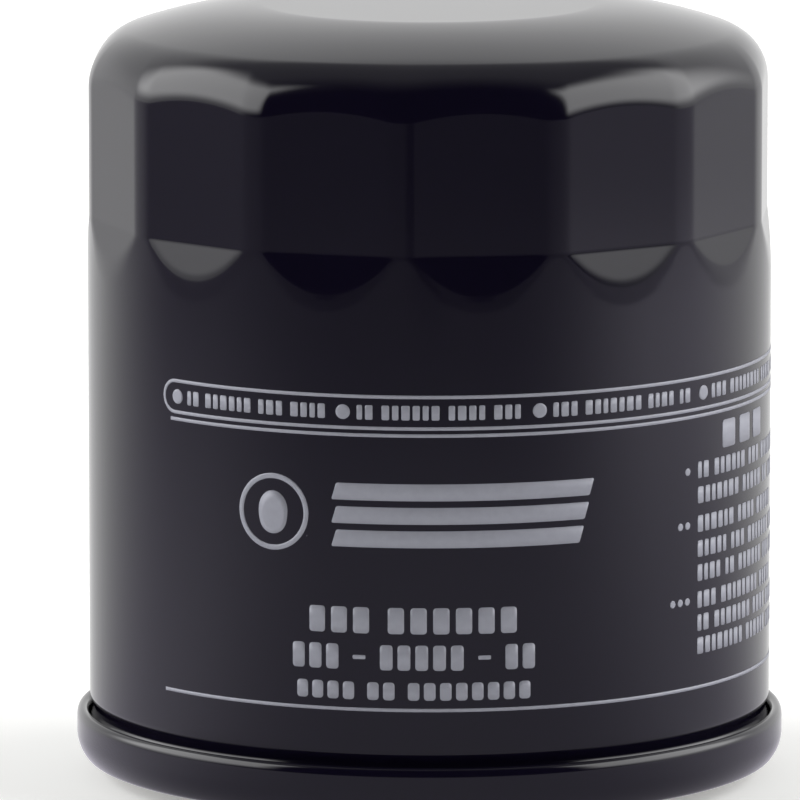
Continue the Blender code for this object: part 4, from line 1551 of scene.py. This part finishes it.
# ---- the studio --------------------------------------------------------------------------------
@dataclass
class Studio:
    """A pale floor in a white tent with a soft box at each side and a dark front wall."""

    target_height: float = 40.54
    distance: float = 1099.5
    pitch: float = math.radians(8.98)
    lens: float = 455.7
    shift: float = -0.0368
    floor_size: float = 6000.0
    paper: str = "#f7f7f5"
    paper_glow: float = 0.3
    cool: str = "#f6f2ff"

    def ramp(
        self,
        tree: Tree,
        value: Socket,
        start: float,
        end: float,
        low: float = 0.0,
        high: float = 1.0,
    ) -> Socket:
        """A smooth step of a value, from low at its start to high at its end."""
        limits = {"From Min": start, "From Max": end, "To Min": low, "To Max": high}
        settings = {"interpolation_type": "SMOOTHSTEP", **limits}
        return add_node(tree, "MapRange", settings, {"Value": value}).outputs[0]

    def times(self, tree: Tree, first: Socket, second: Socket | float, plus: float = 0.0) -> Socket:
        """The product of two values, plus a number."""
        settings: dict[str | int, Any] = {"operation": "MULTIPLY_ADD", 2: plus}
        links = {0: first}
        if isinstance(second, float):
            settings[1] = second
        else:
            links[1] = second
        return add_node(tree, "Math", settings, links).outputs[0]

    def between(self, tree: Tree, share: Socket, first: Socket, second: Socket) -> Socket:
        """The first value, mixed with this share of the second."""
        return add_node(tree, "Mix", {}, {0: share, 2: first, 3: second}).outputs[0]

    def camera(self) -> None:
        """Places the long-lens camera in front of the filter, looking a little down on it."""
        data = bpy.data.cameras.new("camera")
        data.lens = self.lens
        data.sensor_width = 36.0
        data.shift_x = self.shift
        data.clip_start = 0.05
        data.clip_end = 20.0
        made = bpy.data.objects.new("camera", data)
        made.location = (
            0.0,
            -self.distance * math.cos(self.pitch) * MM,
            (self.target_height + self.distance * math.sin(self.pitch)) * MM,
        )
        made.rotation_euler = (math.pi / 2 - self.pitch, 0.0, 0.0)
        bpy.context.scene.collection.objects.link(made)
        bpy.context.scene.camera = made

    def floor(self) -> None:
        """Lays the paper floor; to glossy rays it glows instead with a painted reflection, dim towards the
        front, with a painted shade along the middle line further out.
        """
        half = self.floor_size / 2 * MM
        corners = [(-half, -half, 0), (half, -half, 0), (half, half, 0), (-half, half, 0)]
        mesh = bpy.data.meshes.new("floor")
        mesh.from_pydata(corners, [], [(0, 1, 2, 3)])
        floor = bpy.data.objects.new("floor", mesh)
        bpy.context.scene.collection.objects.link(floor)
        made = bpy.data.materials.new("studio_paper")
        made.use_nodes = True
        tree = made.node_tree
        tree.nodes.remove(tree.nodes["Principled BSDF"])
        place = add_node(tree, "TexCoord").outputs["Object"]
        reach = add_node(tree, "VectorMath", {"operation": "LENGTH"}, {0: place})
        facing = add_node(tree, "VectorMath", {"operation": "NORMALIZE"}, {0: place})
        axes = add_node(tree, "SeparateXYZ", {}, {0: facing.outputs[0]})
        # Painted reflection: how bright the floor looks in the gloss paint, by distance and direction. It is
        # dim near the front, with a painted shade along the middle line from 0.4 m out, darker on the left
        # and brighter on the right and at the back.
        near = self.ramp(tree, reach.outputs["Value"], 0.40, 0.17, 0.2, 0.435)
        edge = self.ramp(tree, reach.outputs["Value"], 0.56, 0.42, 0.6, 1.0)
        far = self.ramp(tree, reach.outputs["Value"], 0.40, 0.48)
        middle = self.ramp(tree, self.times(tree, axes.outputs["X"], axes.outputs["X"]), 0.02, 0.0)
        shade = self.times(tree, self.times(tree, far, middle), -0.6, plus=1.0)
        front = self.times(tree, self.times(tree, near, edge), shade)
        left = self.ramp(tree, reach.outputs["Value"], 0.1, 0.5, 0.86, 0.31)
        far_right = self.ramp(tree, reach.outputs["Value"], 0.55, 0.38, 0.55, 1.0)
        right = self.ramp(tree, reach.outputs["Value"], 0.1, 0.35, 0.76, 1.03)
        right = self.times(tree, right, far_right)
        is_right = self.ramp(tree, axes.outputs["X"], -0.2, 0.2)
        side = self.between(tree, is_right, left, right)
        to_side = self.ramp(tree, axes.outputs["Y"], -0.95, -0.2)
        to_back = self.ramp(tree, axes.outputs["Y"], 0.0, 0.8)
        ahead = self.between(tree, to_side, front, side)
        level = add_node(tree, "Mix", {3: 0.95}, {0: to_back, 2: ahead})
        tints = {"data_type": "RGBA", 6: linear(self.cool), 7: linear("#ffffff")}
        tint = add_node(tree, "Mix", tints, {0: to_back})
        # Emission seen only by glossy rays: the painted reflection, tinted cool except towards the back.
        painted_reflection = add_node(tree, "Emission", {}, {"Color": tint.outputs[2], "Strength": level.outputs[0]})
        lit = add_node(tree, "BsdfDiffuse", {"Color": linear(self.paper)})
        lift = add_node(tree, "Emission", {"Color": linear(self.paper), "Strength": self.paper_glow})
        paper = add_node(tree, "AddShader", {}, {0: lit.outputs[0], 1: lift.outputs[0]})
        path = add_node(tree, "LightPath")
        mixed = add_node(
            tree,
            "MixShader",
            {},
            {0: path.outputs["Is Glossy Ray"], 1: paper.outputs[0], 2: painted_reflection.outputs[0]},
        )
        tree.links.new(mixed.outputs[0], tree.nodes["Material Output"].inputs["Surface"])
        mesh.materials.append(made)

    def tent(self) -> None:
        """Lights the tent: white behind, a bright soft box at each side, dark in front and above."""
        world = bpy.data.worlds.new("tent")
        bpy.context.scene.world = world
        world.use_nodes = True
        tree = world.node_tree
        tree.nodes.remove(tree.nodes["Background"])
        facing = add_node(tree, "TexCoord").outputs["Generated"]
        axes = add_node(tree, "SeparateXYZ", {}, {0: facing})
        flat = add_node(tree, "VectorMath", {"operation": "MULTIPLY", 1: (1, 1, 0)}, {0: facing})
        level = add_node(tree, "VectorMath", {"operation": "NORMALIZE"}, {0: flat.outputs[0]})
        round_axes = add_node(tree, "SeparateXYZ", {}, {0: level.outputs[0]})
        back, up = round_axes.outputs["Y"], axes.outputs["Z"]
        box = self.times(tree, self.ramp(tree, back, -0.66, -0.5), self.ramp(tree, back, 0.7, 0.35))
        box = self.times(tree, box, self.ramp(tree, up, 0.0, 0.26))
        box = self.times(tree, box, self.ramp(tree, up, 0.84, 0.68))
        wall = self.times(
            tree,
            self.ramp(tree, axes.outputs["Y"], -0.6, 0.1),
            self.ramp(tree, up, 0.8, 0.63, 0.33, 1.0),
        )
        glow = self.times(tree, wall, self.ramp(tree, up, 0.3, 0.1, 0.92, 1.0), plus=0.008)
        total = add_node(tree, "Math", {"operation": "MULTIPLY_ADD", 1: 3.2}, {0: box, 2: glow})
        path = add_node(tree, "LightPath")
        strength = add_node(tree, "Mix", {3: 1.0}, {0: path.outputs["Is Camera Ray"], 2: total.outputs[0]})
        light = add_node(
            tree, "Background", {"Color": (1.0, 1.0, 1.0, 1.0)}, {"Strength": strength.outputs[0]}
        )
        tree.links.new(light.outputs[0], tree.nodes["World Output"].inputs["Surface"])

    def build(self) -> None:
        """Sets up the camera, the floor and the light, with plain colour management."""
        bpy.context.scene.view_settings.view_transform = "Standard"
        self.camera()
        self.floor()
        self.tent()


# ---- build -------------------------------------------------------------------------------------
def main() -> None:
    """Builds the studio and every piece of the filter."""
    logging.basicConfig(level=logging.INFO, format="%(name)s: %(message)s")
    Studio().build()
    enamel = StovingEnamel("stoving_enamel")
    tin = SteelSurface("tinned_steel")
    zinc = SteelSurface("zinc_plated_steel", Plating.ZINC, 0.36)
    spring = SteelSurface("oil_tempered_wire", Plating.PLAIN, 0.34, mottle=1.2)
    rubber = Moulded("nitrile_rubber", "#101011", "#1a1a1b", 0.5)
    red_rubber = Moulded("red_nitrile_rubber", "#5b1f17", "#6d291f", 0.55)
    glue = Moulded("plastisol", "#4b4a4d", "#5b5a5d", 0.4)
    nylon = Moulded("natural_nylon", "#d8d2bd", "#e2ddcb", 0.42)
    compound = Moulded("seam_compound_film", "#7a3a2c", "#8a4636", 0.5)
    seam = DoubleSeam()
    CanShell(seam).build(enamel)
    FrontPrint().build(ScreenInk("screen_ink"))
    cover = SeamedCover(seam)
    cover.build(SeamEnamel("seam_enamel"))
    cover.build_compound(compound)
    BasePlate().build(zinc)
    Gasket().build(rubber)
    AntidrainValve().build(red_rubber)
    FilterElement().build(tin, glue, FilterPaper("filter_paper"))
    ReliefValve().build(tin, nylon, red_rubber, spring)
    HoldDown().build(tin, spring)


if __name__ == "__main__":
    main()
